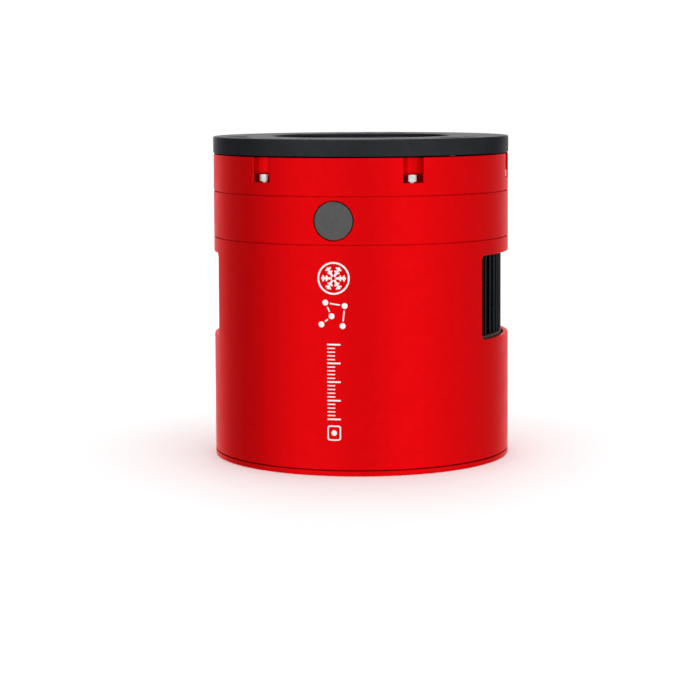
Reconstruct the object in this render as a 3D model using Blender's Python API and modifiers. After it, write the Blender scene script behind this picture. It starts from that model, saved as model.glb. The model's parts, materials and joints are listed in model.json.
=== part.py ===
"""A cooled astronomy camera, built as the separate pieces that come apart on a bench.

The optical axis is +Z. The camera stands on its rear cover, whose outer face is z = 0, and the
telescope side is up. The side that carries the desiccant plug faces -Y. Angles round the axis are
counted from -Y towards +X. Everything is in metres.

From the rear to the front: rear cover with its grille and ports, fan, main board, fan shroud, heat
sink, thermoelectric cooler, sensor chamber, window, and the tilt plate that a telescope screws into.
"""

import math

import bmesh
import bpy
from mathutils import Matrix, Vector

MM = 0.001
GAP = 0.3 * MM  # left between pieces that touch

# Driving dimensions
BODY_RADIUS = 44.9 * MM
TILT_PLATE_RADIUS = 45.0 * MM
HEIGHT = 97.0 * MM
TILT_PLATE_THICKNESS = 5.0 * MM
SENSOR_DEPTH = 17.5 * MM  # from the front face down to the sensor's surface
SHELL_WALL = 1.5 * MM
REAR_COVER_THICKNESS = 2.2 * MM
REAR_COVER_RIM = 1.5 * MM  # height of the rim that shows below the shell

# Heights of the joints between the outer pieces
SHELL_BOTTOM = REAR_COVER_RIM + GAP
SHELL_TOP = 66.6 * MM
MIDDLE_BOTTOM = SHELL_TOP + GAP
MIDDLE_TOP = 80.45 * MM
FRONT_BOTTOM = MIDDLE_TOP + GAP
TILT_PLATE_BOTTOM = HEIGHT - TILT_PLATE_THICKNESS
FRONT_TOP = TILT_PLATE_BOTTOM - GAP

# Vent windows in the shell, one on each side
VENT_HALF_ANGLE = 27.3
VENT_BOTTOM = 37.2 * MM
VENT_TOP = 62.2 * MM
VENT_CORNER = 1.6 * MM

# Tilt adjuster: three pairs of a pull screw and a push screw
PAIR_ANGLES = (60.0, -60.0, 180.0)
PAIR_RADIUS = 38.3 * MM
PAIR_HALF_SPREAD = 6.5  # degrees from the pair's middle to each screw
THREAD_54_RADIUS = 26.6 * MM  # inside radius of the M54 x 0.75 thread

# Notches with the screws that hold the front housing
NOTCH_ANGLES = tuple(30.0 + 60.0 * i for i in range(6))
NOTCH_RADIUS = 3.05 * MM
NOTCH_CENTRE = 44.4 * MM
NOTCH_FLOOR = 84.4 * MM
POCKET_BACK = 40.0 * MM
POCKET_TOP = 87.0 * MM
FRONT_SCREW_RADIUS = 42.9 * MM

# Sensor chamber
CHAMBER_RADIUS = 33.5 * MM
CHAMBER_FLOOR = 69.5 * MM
COOLER_OPENING = 22.0 * MM
WINDOW_BORE = 31.6 * MM
WINDOW_SEAT = 83.0 * MM
FRONT_OPENING = 26.8 * MM

# Desiccant plug
PLUG_HEIGHT = 73.7 * MM
PLUG_RADIUS = 5.55 * MM
PLUG_FACE = 44.55 * MM
PORT_BORE = 4.1 * MM

# Heat sink and shroud
SINK_RADIUS = 42.9 * MM
FIN_RADIUS = 42.7 * MM
FIN_COUNT = 84
FIN_BOTTOM = 38.2 * MM
SINK_BASE_BOTTOM = 62.6 * MM
SINK_TOP = SHELL_TOP - 0.05 * MM
SHROUD_BOTTOM = 35.9 * MM
SHROUD_TOP = FIN_BOTTOM - GAP

# Fan
FAN_CENTRE = Vector((0.0, -8.0 * MM, 0.0))
FAN_SIDE = 50.0 * MM
FAN_BOTTOM = REAR_COVER_THICKNESS + GAP
FAN_TOP = FAN_BOTTOM + 15.0 * MM
FAN_DUCT = 23.6 * MM
FAN_HOLE_OFFSET = 20.0 * MM
HUB_RADIUS = 11.0 * MM
BLADE_TIP = 22.8 * MM
BLADES = 7
GRILLE_RINGS = 4

# Main board and the posts that tie the rear cover to the heat sink
BOARD_BOTTOM = 20.2 * MM
BOARD_TOP = 21.8 * MM
BOARD_RADIUS = 41.5 * MM
POST_ANGLES = (60.0, 120.0, -60.0, -120.0)
POST_RADIUS = 37.0 * MM

# Ports: name, x, y and the outer width along x and y
PORT_ROW = 27.5 * MM
USB3_X, USB3_SIZE = 4.0 * MM, (12.1 * MM, 11.2 * MM)
USB2_XS, USB2_SIZE = (-18.0 * MM, -8.5 * MM), (5.9 * MM, 13.2 * MM)
JACK_X, JACK_RADIUS = 18.5 * MM, 4.6 * MM
PORT_BOTTOM = 0.4 * MM
PORT_TOP = BOARD_BOTTOM - GAP

FINE = 48  # sides of the large round pieces
MEDIUM = 32
SMALL = 12

RED = ("red_anodised", (0.62, 0.006, 0.010), 0.34, 0.6)
BLACK = ("black_anodised", (0.012, 0.012, 0.014), 0.45, 0.4)
FIN_BLACK = ("fin_black", (0.010, 0.011, 0.013), 0.5, 0.4)
GREY = ("plug_grey", (0.095, 0.095, 0.095), 0.55, 0.0)
STEEL = ("steel", (0.72, 0.70, 0.67), 0.28, 1.0)
RUBBER = ("seal_rubber", (0.02, 0.02, 0.02), 0.8, 0.0)
GLASS = ("window_glass", (0.75, 0.86, 0.84), 0.03, 0.0)
CIRCUIT = ("circuit_board", (0.010, 0.045, 0.022), 0.4, 0.0)
CERAMIC = ("ceramic", (0.80, 0.78, 0.74), 0.5, 0.0)
SILICON = ("sensor_silicon", (0.05, 0.10, 0.09), 0.12, 0.6)
COPPER = ("copper", (0.80, 0.38, 0.20), 0.3, 1.0)
BRASS = ("brass", (0.76, 0.58, 0.26), 0.3, 1.0)
FOAM = ("foam", (0.04, 0.04, 0.045), 0.95, 0.0)
AMBER = ("heater_film", (0.60, 0.26, 0.03), 0.4, 0.0)
PLASTIC = ("black_plastic", (0.015, 0.015, 0.017), 0.5, 0.0)
DESICCANT = ("desiccant_white", (0.85, 0.84, 0.80), 0.9, 0.0)
MAGNET = ("magnet", (0.10, 0.10, 0.11), 0.6, 0.3)


def clear_scene():
    for obj in list(bpy.data.objects):
        bpy.data.objects.remove(obj)


def collection(name):
    made = bpy.data.collections.new(name)
    bpy.context.scene.collection.children.link(made)
    return made


def material(spec):
    name, colour, roughness, metallic = spec
    found = bpy.data.materials.get(name)
    if found:
        return found
    made = bpy.data.materials.new(name)
    made.use_nodes = True
    shader = made.node_tree.nodes["Principled BSDF"]
    shader.inputs["Base Color"].default_value = (*colour, 1.0)
    shader.inputs["Roughness"].default_value = roughness
    shader.inputs["Metallic"].default_value = metallic
    return made


def add(name, mesh, look, location=(0, 0, 0), group=None):
    """A new object of this mesh in the camera's collection, or in the group given."""
    obj = bpy.data.objects.new(name, mesh)
    obj.location = location
    (group or PARTS).objects.link(obj)
    if look and not mesh.materials:
        mesh.materials.append(material(look))
    return obj


def mesh_of(name, build):
    """A mesh that build(bm) fills."""
    bm = bmesh.new()
    build(bm)
    mesh = bpy.data.meshes.new(name)
    bm.to_mesh(mesh)
    bm.free()
    return mesh


def polar(radius, degrees, z=0.0):
    """The point at this radius and height, at an angle counted from -Y towards +X."""
    angle = math.radians(degrees)
    return Vector((radius * math.sin(angle), -radius * math.cos(angle), z))


def facing(degrees):
    """A turn about Z that takes -Y to the direction at this angle."""
    return Matrix.Rotation(math.radians(degrees), 4, "Z")


def block_into(bm, low, high, matrix=Matrix.Identity(4)):
    """A box between two corners, then moved by the matrix."""
    low, high = Vector(low), Vector(high)
    size = Matrix.Diagonal((*(high - low), 1.0))
    bmesh.ops.create_cube(bm, size=1.0, matrix=matrix @ Matrix.Translation((low + high) / 2) @ size)


def rod_into(bm, radius, low, high, centre=(0, 0), sides=SMALL, top_radius=None, matrix=Matrix.Identity(4)):
    """A cylinder or cone along Z between two heights."""
    place = Matrix.Translation((centre[0], centre[1], (low + high) / 2))
    bmesh.ops.create_cone(
        bm,
        cap_ends=True,
        segments=sides,
        radius1=radius,
        radius2=radius if top_radius is None else top_radius,
        depth=high - low,
        matrix=matrix @ place,
    )


def box(name, low, high, look=None, group=None):
    return add(name, mesh_of(name, lambda bm: block_into(bm, low, high)), look, group=group)


def rod(name, radius, low, high, look=None, centre=(0, 0), sides=SMALL, group=None):
    """A cylinder whose origin is on its own axis."""
    made = mesh_of(name, lambda bm: rod_into(bm, radius, low, high, sides=sides))
    return add(name, made, look, (centre[0], centre[1], 0.0), group)


def turned(name, profile, look, sides=FINE, location=(0, 0, 0), group=None):
    """A profile of (radius, z) points turned about Z. It runs down its outer side.

    A profile that starts and ends on the axis is a solid of revolution, and any other closes on
    itself and makes a ring.
    """
    mesh = bpy.data.meshes.new(name)
    count = len(profile)
    on_axis = profile[0][0] == 0.0 and profile[-1][0] == 0.0
    edges = [(i, i + 1) for i in range(count - 1)]
    if not on_axis:
        edges.append((count - 1, 0))
    mesh.from_pydata([(r, 0.0, z) for r, z in profile], edges, [])
    obj = add(name, mesh, look, location, group)
    screw = obj.modifiers.new("Turn", "SCREW")
    screw.axis = "Z"
    screw.steps = screw.render_steps = sides
    screw.use_merge_vertices = True
    screw.merge_threshold = 0.01 * MM
    return obj


def ring(name, inner, outer, low, high, look, sides=FINE, location=(0, 0, 0), group=None, chamfer=0.0):
    """A turned ring of rectangular section, whose two outer corners can be chamfered."""
    profile = [(outer, high - chamfer), (outer, low + chamfer), (inner, low), (inner, high)]
    if chamfer:
        profile.insert(2, (outer - chamfer, low))
        profile.append((outer - chamfer, high))
    return turned(name, profile, look, sides, location, group)


def torus(name, major, minor, look, location=(0, 0, 0), sides=MEDIUM, section=8):
    """An O-ring, lying flat."""
    profile = []
    for i in range(section):
        angle = -2.0 * math.pi * i / section
        profile.append((major + minor * math.cos(angle), minor * math.sin(angle)))
    return turned(name, profile, look, sides, location)


def cutter(name, build):
    """A hidden mesh that cuts others."""
    obj = add(name, mesh_of(name, build), None, group=CUTTERS)
    obj.hide_render = True
    obj.display_type = "WIRE"
    return obj


def boolean(obj, tool, operation="DIFFERENCE"):
    modifier = obj.modifiers.new(tool.name, "BOOLEAN")
    modifier.operation = operation
    modifier.object = tool
    return obj


def bake(obj):
    """The object's mesh with its modifiers applied, so that other objects can share it."""
    bpy.context.view_layer.update()
    graph = bpy.context.evaluated_depsgraph_get()
    obj.data = bpy.data.meshes.new_from_object(obj.evaluated_get(graph))
    obj.modifiers.clear()
    return obj


def smooth(obj, degrees=35.0):
    obj.data.shade_smooth()
    obj.data.set_sharp_from_angle(angle=math.radians(degrees))


def cap_screw_mesh(name, head_radius, head_height, shank_radius, shank_length, socket_radius):
    """A cap screw with a hexagon socket. Its head rests on z = 0 and its shank points down."""
    profile = [
        (0.0, head_height),
        (head_radius - 0.2 * MM, head_height),
        (head_radius, head_height - 0.2 * MM),
        (head_radius, 0.0),
        (shank_radius, 0.0),
        (shank_radius, -shank_length),
        (0.0, -shank_length),
    ]
    screw = turned(name, profile, STEEL, sides=SMALL, group=CUTTERS)
    low, high = 0.45 * head_height, head_height + MM
    socket = cutter(name + "_socket", lambda bm: rod_into(bm, socket_radius, low, high, sides=6))
    return take_mesh(boolean(screw, socket))


def countersunk_screw_mesh(name, head_radius, head_height, shank_radius, length, socket_radius):
    """A countersunk screw whose head looks down: its flat face is z = 0 and its shank points up."""
    profile = [
        (0.0, length),
        (shank_radius, length),
        (shank_radius, head_height),
        (head_radius, 0.3 * MM),
        (head_radius, 0.0),
        (0.0, 0.0),
    ]
    screw = turned(name, profile, STEEL, sides=SMALL, group=CUTTERS)
    socket = cutter(name + "_socket", lambda bm: rod_into(bm, socket_radius, -MM, 1.1 * MM, sides=6))
    return take_mesh(boolean(screw, socket))


def take_mesh(obj):
    """The baked mesh of a temporary object, which is removed."""
    mesh = bake(obj).data
    bpy.data.objects.remove(obj)
    return mesh


def make_tilt_plate(tilt_axis):
    """The black plate with the telescope thread. It tilts, so it hangs on the tilt axis' empty."""
    edge, bevel = TILT_PLATE_RADIUS, 0.5 * MM
    profile = [
        (edge - bevel, HEIGHT),
        (edge, HEIGHT - bevel),
        (edge, TILT_PLATE_BOTTOM + bevel),
        (edge - bevel, TILT_PLATE_BOTTOM),
        (THREAD_54_RADIUS, TILT_PLATE_BOTTOM),
        (THREAD_54_RADIUS, HEIGHT - 0.8 * MM),
        (THREAD_54_RADIUS + 0.8 * MM, HEIGHT),
    ]
    plate = turned("tilt_plate", profile, BLACK)
    pull_places, push_places = screw_places()

    def counterbores(bm):
        for place in pull_places:
            rod_into(bm, 3.1 * MM, HEIGHT - 3.2 * MM, HEIGHT + MM, place, sides=20)

    def through_holes(bm):
        for place in pull_places + push_places:
            rod_into(bm, 1.85 * MM, TILT_PLATE_BOTTOM - MM, HEIGHT + MM, place)

    boolean(plate, cutter("tilt_plate_counterbores", counterbores))
    boolean(plate, cutter("tilt_plate_holes", through_holes))
    hang(plate, tilt_axis)


def screw_places():
    """Where the pull screws and the push screws of the three pairs stand, as (x, y)."""
    pull = [polar(PAIR_RADIUS, angle - PAIR_HALF_SPREAD).xy for angle in PAIR_ANGLES]
    push = [polar(PAIR_RADIUS, angle + PAIR_HALF_SPREAD).xy for angle in PAIR_ANGLES]
    return pull, push


def make_tilt_screws(tilt_axis):
    """Pull screws hold the plate down by their heads. Push screws are headless: they are threaded
    in the plate and stand on the front housing. Both kinds move with the plate."""
    pull_places, push_places = screw_places()
    pull_mesh = cap_screw_mesh("pull_screw", 2.7 * MM, 2.6 * MM, 1.5 * MM, 6.8 * MM, 1.45 * MM)
    seat = HEIGHT - 3.2 * MM + GAP
    for i, place in enumerate(pull_places, 1):
        hang(add(f"pull_screw_{i}", pull_mesh, STEEL, (*place, seat)), tilt_axis)
    low, high = TILT_PLATE_BOTTOM, HEIGHT - 0.9 * MM
    push = turned(
        "push_screw",
        [
            (0.0, high - low),
            (1.2 * MM, high - low),
            (1.5 * MM, high - low - 0.3 * MM),
            (1.5 * MM, 0.6 * MM),
            (0.9 * MM, 0.0),
            (0.0, 0.0),
        ],
        STEEL,
        sides=SMALL,
        group=CUTTERS,
    )
    socket = cutter("push_screw_socket", lambda bm: rod_into(bm, 0.87 * MM, 2.2 * MM, 6 * MM, sides=6))
    push_mesh = take_mesh(boolean(push, socket))
    for i, place in enumerate(push_places, 1):
        hang(add(f"push_screw_{i}", push_mesh, STEEL, (*place, low)), tilt_axis)


def hang(obj, empty):
    """Parents obj to the empty and leaves it where it is."""
    obj.location = Vector(obj.location) - empty.location
    obj.parent = empty


def make_front_housing():
    edge, bevel = BODY_RADIUS, 0.25 * MM
    profile = [
        (edge - bevel, FRONT_TOP),
        (edge, FRONT_TOP - bevel),
        (edge, FRONT_BOTTOM + bevel),
        (edge - bevel, FRONT_BOTTOM),
        (FRONT_OPENING, FRONT_BOTTOM),
        (FRONT_OPENING, WINDOW_SEAT),
        (WINDOW_BORE, WINDOW_SEAT),
        (WINDOW_BORE, FRONT_TOP),
    ]
    housing = turned("front_housing", profile, RED)
    above = FRONT_TOP + MM

    def grooves(bm):
        for angle in NOTCH_ANGLES:
            centre = (0, -NOTCH_CENTRE)
            rod_into(bm, NOTCH_RADIUS, POCKET_TOP - MM, above, centre, 16, matrix=facing(angle))

    def pockets(bm):
        for angle in NOTCH_ANGLES:
            low = (-NOTCH_RADIUS, -edge - MM, NOTCH_FLOOR)
            block_into(bm, low, (NOTCH_RADIUS, -POCKET_BACK, POCKET_TOP), facing(angle))

    def screw_holes(bm):
        for angle in NOTCH_ANGLES:
            low, high = FRONT_BOTTOM - MM, NOTCH_FLOOR + MM
            rod_into(bm, 1.3 * MM, low, high, (0, -FRONT_SCREW_RADIUS), matrix=facing(angle))

    def pull_holes(bm):
        for place in screw_places()[0]:
            rod_into(bm, 1.85 * MM, FRONT_TOP - 6.5 * MM, above, place)

    boolean(housing, cutter("notch_grooves", grooves))
    boolean(housing, cutter("notch_pockets", pockets))
    boolean(housing, cutter("front_screw_holes", screw_holes))
    boolean(housing, cutter("pull_screw_holes", pull_holes))


def make_front_screws():
    """Six cap screws, whose heads show in the notches, clamp the front housing to the middle one."""
    mesh = cap_screw_mesh("front_screw", 1.6 * MM, 2.05 * MM, 1.0 * MM, 9.0 * MM, 0.87 * MM)
    for i, angle in enumerate(NOTCH_ANGLES, 1):
        place = polar(FRONT_SCREW_RADIUS, angle, NOTCH_FLOOR + GAP)
        add(f"front_screw_{i}", mesh, STEEL, place)


def make_window():
    """The protective glass in its seat: seal, glass, heater film and retaining ring."""
    seal = torus("window_seal", 29.0 * MM, 0.45 * MM, RUBBER, (0, 0, WINDOW_SEAT + 0.75 * MM), section=6)
    glass_low = seal.location.z + 0.75 * MM
    glass_high = glass_low + 2.0 * MM
    turned(
        "window_glass",
        [
            (0.0, glass_high),
            (29.8 * MM, glass_high),
            (30.0 * MM, glass_high - 0.2 * MM),
            (30.0 * MM, glass_low + 0.2 * MM),
            (29.8 * MM, glass_low),
            (0.0, glass_low),
        ],
        GLASS,
        MEDIUM,
    )
    film_low = glass_high + GAP
    ring("window_heater", 27.0 * MM, 29.6 * MM, film_low, film_low + 0.3 * MM, AMBER, MEDIUM)
    low = film_low + 0.3 * MM + GAP
    high = low + 2.2 * MM
    retainer = ring("window_retainer", 26 * MM, 31.2 * MM, low, high, BLACK, MEDIUM, chamfer=0.3 * MM)

    def spanner_slots(bm):
        for angle in (0.0, 180.0):
            block_into(
                bm,
                (-0.9 * MM, -32.0 * MM, low + 1.1 * MM),
                (0.9 * MM, -28.5 * MM, low + 4.0 * MM),
                facing(angle + 90.0),
            )

    boolean(retainer, cutter("retainer_slots", spanner_slots))


def make_middle_housing():
    """The sensor chamber, with the desiccant port through its wall and a groove for the seal."""
    edge, bevel, groove = BODY_RADIUS, 0.25 * MM, 1.2 * MM
    profile = [
        (edge - bevel, MIDDLE_TOP),
        (edge, MIDDLE_TOP - bevel),
        (edge, MIDDLE_BOTTOM + bevel),
        (edge - bevel, MIDDLE_BOTTOM),
        (COOLER_OPENING, MIDDLE_BOTTOM),
        (COOLER_OPENING, CHAMBER_FLOOR),
        (CHAMBER_RADIUS, CHAMBER_FLOOR),
        (CHAMBER_RADIUS, MIDDLE_TOP),
        (35.6 * MM, MIDDLE_TOP),
        (35.6 * MM, MIDDLE_TOP - groove),
        (37.6 * MM, MIDDLE_TOP - groove),
        (37.6 * MM, MIDDLE_TOP),
    ]
    housing = turned("middle_housing", profile, RED)
    outward = Matrix.Translation((0, 0, PLUG_HEIGHT)) @ Matrix.Rotation(math.radians(90), 4, "X")
    outward = outward @ Matrix.Rotation(math.radians(4), 4, "Z")

    def port_bore(bm):
        rod_into(bm, PORT_BORE, CHAMBER_RADIUS - 3 * MM, edge, sides=24, matrix=outward)

    def port_seat(bm):
        rod_into(bm, PLUG_RADIUS + GAP, edge - 2.4 * MM, edge + MM, sides=32, matrix=outward)

    def screw_holes(bm):
        for angle in NOTCH_ANGLES:
            low, high = MIDDLE_TOP - 5.8 * MM, MIDDLE_TOP + MM
            rod_into(bm, 1.3 * MM, low, high, (0, -FRONT_SCREW_RADIUS), matrix=facing(angle))

    boolean(housing, cutter("desiccant_port_bore", port_bore))
    boolean(housing, cutter("desiccant_port_seat", port_seat))
    boolean(housing, cutter("middle_screw_holes", screw_holes))
    torus("chamber_seal", 36.6 * MM, 0.42 * MM, RUBBER, (0, 0, MIDDLE_TOP - 0.43 * MM), 48, 6)


def make_desiccant_port():
    """The plug pulls straight out along -Y with its O-ring, and the desiccant lies behind it."""
    outward = Matrix.Rotation(math.radians(90), 4, "X")
    place = (0, 0, PLUG_HEIGHT)
    head_back, shank_end = PLUG_FACE - 1.7 * MM, 38.2 * MM
    groove_high, groove_low = 41.5 * MM, 39.4 * MM
    plug = turned(
        "desiccant_plug",
        [
            (0.0, PLUG_FACE),
            (PLUG_RADIUS - 0.15 * MM, PLUG_FACE),
            (PLUG_RADIUS, PLUG_FACE - 0.15 * MM),
            (PLUG_RADIUS, head_back),
            (3.7 * MM, head_back),
            (3.7 * MM, groove_high),
            (2.4 * MM, groove_high),
            (2.4 * MM, groove_low),
            (3.7 * MM, groove_low),
            (3.7 * MM, shank_end),
            (0.0, shank_end),
        ],
        GREY,
        sides=28,
        location=place,
    )
    seal = torus("plug_seal", 3.35 * MM, 0.6 * MM, RUBBER, sides=24)
    seal.location = (0, -(groove_high + groove_low) / 2, PLUG_HEIGHT)
    pack = rod("desiccant_pack", 3.8 * MM, 34.2 * MM, shank_end - GAP, DESICCANT, sides=24)
    pack.location = place
    for obj in (plug, seal, pack):
        obj.rotation_euler = outward.to_euler()


def make_sensor():
    """The image sensor on its board: package, die, cover glass and circuit board."""
    surface = HEIGHT - SENSOR_DEPTH
    board_top, board_bottom = surface - 2.3 * MM, surface - 3.9 * MM
    board = rod("sensor_board", 32.8 * MM, board_bottom, board_top, CIRCUIT, sides=FINE)
    opening = (12.0 * MM, 12.0 * MM)

    def finger_opening(bm):
        low = (-opening[0], -opening[1], board_bottom - MM)
        block_into(bm, low, (opening[0], opening[1], board_top + MM))

    boolean(board, cutter("sensor_board_opening", finger_opening))
    package_low, package_high = board_top + GAP, surface + 0.8 * MM
    package = box(
        "sensor_package",
        (-23 * MM, -17 * MM, package_low),
        (23 * MM, 17 * MM, package_high),
        CERAMIC,
    )
    cavity_low = surface - 0.8 * MM

    def cavity(bm):
        low = (-19.5 * MM, -13.5 * MM, cavity_low)
        block_into(bm, low, (19.5 * MM, 13.5 * MM, package_high + MM))

    boolean(package, cutter("sensor_cavity", cavity))
    die_low = cavity_low + GAP
    box("sensor_die", (-18.2 * MM, -12.1 * MM, die_low), (18.2 * MM, 12.1 * MM, surface), SILICON)
    glass_low = package_high + GAP
    box(
        "sensor_cover_glass",
        (-20.5 * MM, -14.5 * MM, glass_low),
        (20.5 * MM, 14.5 * MM, glass_low + 0.7 * MM),
        GLASS,
    )
    return board_bottom, package_low


def make_cooler(board_bottom, package_low):
    """Two thermoelectric stages on the heat sink, the cold finger on them, and foam round it."""
    low = SINK_TOP + GAP
    middle = low + 1.9 * MM
    high = middle + GAP + 1.7 * MM
    box("cooler_lower_stage", (-15 * MM, -15 * MM, low), (15 * MM, 15 * MM, middle), CERAMIC)
    box("cooler_upper_stage", (-11 * MM, -11 * MM, middle + GAP), (11 * MM, 11 * MM, high), CERAMIC)
    finger_low, finger_high = high + GAP, package_low - GAP
    box("cold_finger", (-11 * MM, -11 * MM, finger_low), (11 * MM, 11 * MM, finger_high), COPPER)
    ring("insulation_ring", 17 * MM, 32 * MM, CHAMBER_FLOOR + GAP, board_bottom - GAP, FOAM, sides=MEDIUM)


def make_heat_sink():
    """A base plate with radial fins below it. Every second fin stops short of the core."""
    sink = rod("heat_sink", SINK_RADIUS, SINK_BASE_BOTTOM, SINK_TOP, FIN_BLACK, sides=FINE)
    core = cutter(
        "heat_sink_core",
        lambda bm: rod_into(bm, 13.5 * MM, FIN_BOTTOM, SINK_BASE_BOTTOM + MM, sides=24),
    )
    half = 0.55 * MM

    def fins(bm, first, inner):
        for i in range(first, FIN_COUNT, 2):
            low = (-half, -FIN_RADIUS, FIN_BOTTOM)
            high = (half, -inner, SINK_BASE_BOTTOM + 1.5 * MM)
            block_into(bm, low, high, facing((i + 0.5) * 360.0 / FIN_COUNT))

    boolean(sink, core, "UNION")
    boolean(sink, cutter("long_fins", lambda bm: fins(bm, 0, 12.0 * MM)), "UNION")
    boolean(sink, cutter("short_fins", lambda bm: fins(bm, 1, 24.0 * MM)), "UNION")


def make_shell():
    """The red tube round the heat sink and the electronics, with a vent window on each side."""
    edge, inner, bevel = BODY_RADIUS, BODY_RADIUS - SHELL_WALL, 0.25 * MM
    profile = [
        (edge - bevel, SHELL_TOP),
        (edge, SHELL_TOP - bevel),
        (edge, SHELL_BOTTOM + bevel),
        (edge - bevel, SHELL_BOTTOM),
        (inner, SHELL_BOTTOM),
        (inner, SHELL_TOP),
    ]
    shell = turned("main_shell", profile, RED)
    for side, angle in (("right", 90.0), ("left", -90.0)):
        boolean(shell, vent_cutter(f"vent_cutter_{side}", angle))


def vent_cutter(name, angle):
    """A wedge whose outline is a rectangle with round corners, seen along the radius."""
    width = math.radians(VENT_HALF_ANGLE) * BODY_RADIUS
    corners = 4

    def build(bm):
        outline = []
        for centre_x, centre_z, start in (
            (width - VENT_CORNER, VENT_TOP - VENT_CORNER, 0.0),
            (-width + VENT_CORNER, VENT_TOP - VENT_CORNER, 90.0),
            (-width + VENT_CORNER, VENT_BOTTOM + VENT_CORNER, 180.0),
            (width - VENT_CORNER, VENT_BOTTOM + VENT_CORNER, 270.0),
        ):
            for i in range(corners + 1):
                turn = math.radians(start + 90.0 * i / corners)
                x = centre_x + VENT_CORNER * math.cos(turn)
                outline.append((x, centre_z + VENT_CORNER * math.sin(turn)))
        layers = []
        for radius in (BODY_RADIUS - SHELL_WALL - 2 * MM, BODY_RADIUS + 6 * MM):
            layer = []
            for x, z in outline:
                layer.append(bm.verts.new(polar(radius, math.degrees(x / BODY_RADIUS) + angle, z)))
            layers.append(layer)
        inside, outside = layers
        count = len(outline)
        for i in range(count):
            j = (i + 1) % count
            bm.faces.new((inside[i], inside[j], outside[j], outside[i]))
        bm.faces.new(list(reversed(inside)))
        bm.faces.new(outside)
        bmesh.ops.recalc_face_normals(bm, faces=bm.faces)

    return cutter(name, build)


def make_shroud():
    """The plate that leads the fan's air into the fins."""
    shroud = rod("fan_shroud", SINK_RADIUS, SHROUD_BOTTOM, SHROUD_TOP, PLASTIC, sides=FINE)

    def duct(bm):
        low, high = SHROUD_BOTTOM - MM, SHROUD_TOP + MM
        rod_into(bm, FAN_DUCT, low, high, FAN_CENTRE.xy, sides=MEDIUM)

    boolean(shroud, cutter("shroud_duct", duct))


def make_fan(fan_axis):
    """Frame with its motor mount on the inner side, stator and bearing, and the parts that spin."""
    half = FAN_SIDE / 2
    frame = box("fan_frame", (-half, -half, FAN_BOTTOM), (half, half, FAN_TOP), PLASTIC)
    frame.location = FAN_CENTRE
    bevel = frame.modifiers.new("Corners", "BEVEL")
    bevel.width = 4.0 * MM
    bevel.segments = 3
    upright_edges_only(frame, bevel)
    mount_low = FAN_TOP - 1.8 * MM

    def duct(bm):
        rod_into(bm, FAN_DUCT, FAN_BOTTOM - MM, FAN_TOP + MM, sides=MEDIUM)

    def holes(bm):
        for x, y in fan_hole_places():
            rod_into(bm, 1.85 * MM, FAN_BOTTOM - MM, FAN_TOP + MM, (x, y))

    def mount(bm):
        rod_into(bm, 10.6 * MM, mount_low, FAN_TOP, sides=24)

    def struts(bm):
        for angle in (45.0, 135.0):
            reach, width = FAN_DUCT + 2 * MM, 1.3 * MM
            low = (-width, -reach, mount_low + 0.1 * MM)
            block_into(bm, low, (width, reach, FAN_TOP - 0.1 * MM), facing(angle))

    for name, build, operation in (
        ("fan_duct", duct, "DIFFERENCE"),
        ("fan_holes", holes, "DIFFERENCE"),
        ("fan_struts", struts, "UNION"),
        ("fan_mount", mount, "UNION"),
    ):
        tool = cutter(name, build)
        tool.location = FAN_CENTRE
        boolean(frame, tool, operation)
    stator_low, stator_high = FAN_BOTTOM + 3.4 * MM, mount_low - GAP
    place = (FAN_CENTRE.x, FAN_CENTRE.y, 0.0)
    ring("fan_stator", 2.6 * MM, 8.5 * MM, stator_low, stator_high, COPPER, 24, place)
    ring("fan_bearing", 1.35 * MM, 2.25 * MM, stator_low, stator_high, BRASS, 16, place)
    make_rotor(fan_axis, stator_high)


def upright_edges_only(obj, bevel):
    """Marks the edges along Z, and has the bevel round those alone."""
    bevel.limit_method = "WEIGHT"
    weights = obj.data.attributes.new("bevel_weight_edge", "FLOAT", "EDGE")
    for edge in obj.data.edges:
        a, b = (obj.data.vertices[i].co for i in edge.vertices)
        weights.data[edge.index].value = 1.0 if (a.xy - b.xy).length < 0.01 * MM else 0.0


def make_rotor(fan_axis, cup_top):
    """Hub cup, blades, magnet ring and shaft, all on the fan's axis."""
    hub_face = FAN_BOTTOM + 1.5 * MM
    floor = hub_face + 1.2 * MM
    wall = 0.8 * MM
    rotor = turned(
        "fan_rotor",
        [
            (0.0, floor),
            (HUB_RADIUS - wall, floor),
            (HUB_RADIUS - wall, cup_top),
            (HUB_RADIUS, cup_top),
            (HUB_RADIUS, hub_face + 0.8 * MM),
            (HUB_RADIUS - 0.8 * MM, hub_face),
            (0.0, hub_face),
        ],
        PLASTIC,
        sides=MEDIUM,
        location=FAN_CENTRE,
    )
    middle = (hub_face + cup_top) / 2

    def blades(bm):
        for i in range(BLADES):
            blade_into(bm, 360.0 * i / BLADES, middle)

    tool = cutter("fan_blades", blades)
    tool.location = FAN_CENTRE
    thickness = tool.modifiers.new("Thickness", "SOLIDIFY")
    thickness.thickness = 1.0 * MM
    thickness.offset = 0.0
    boolean(rotor, tool, "UNION")
    place = (FAN_CENTRE.x, FAN_CENTRE.y, 0.0)
    inside = HUB_RADIUS - wall
    magnet = ring("fan_magnet", 8.9 * MM, inside - GAP, floor + GAP, cup_top - MM, MAGNET, 32, place)
    shaft = rod("fan_shaft", 1.0 * MM, floor + GAP, cup_top - 0.4 * MM, STEEL, FAN_CENTRE.xy)
    for obj in (rotor, magnet, shaft):
        hang(obj, fan_axis)


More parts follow.
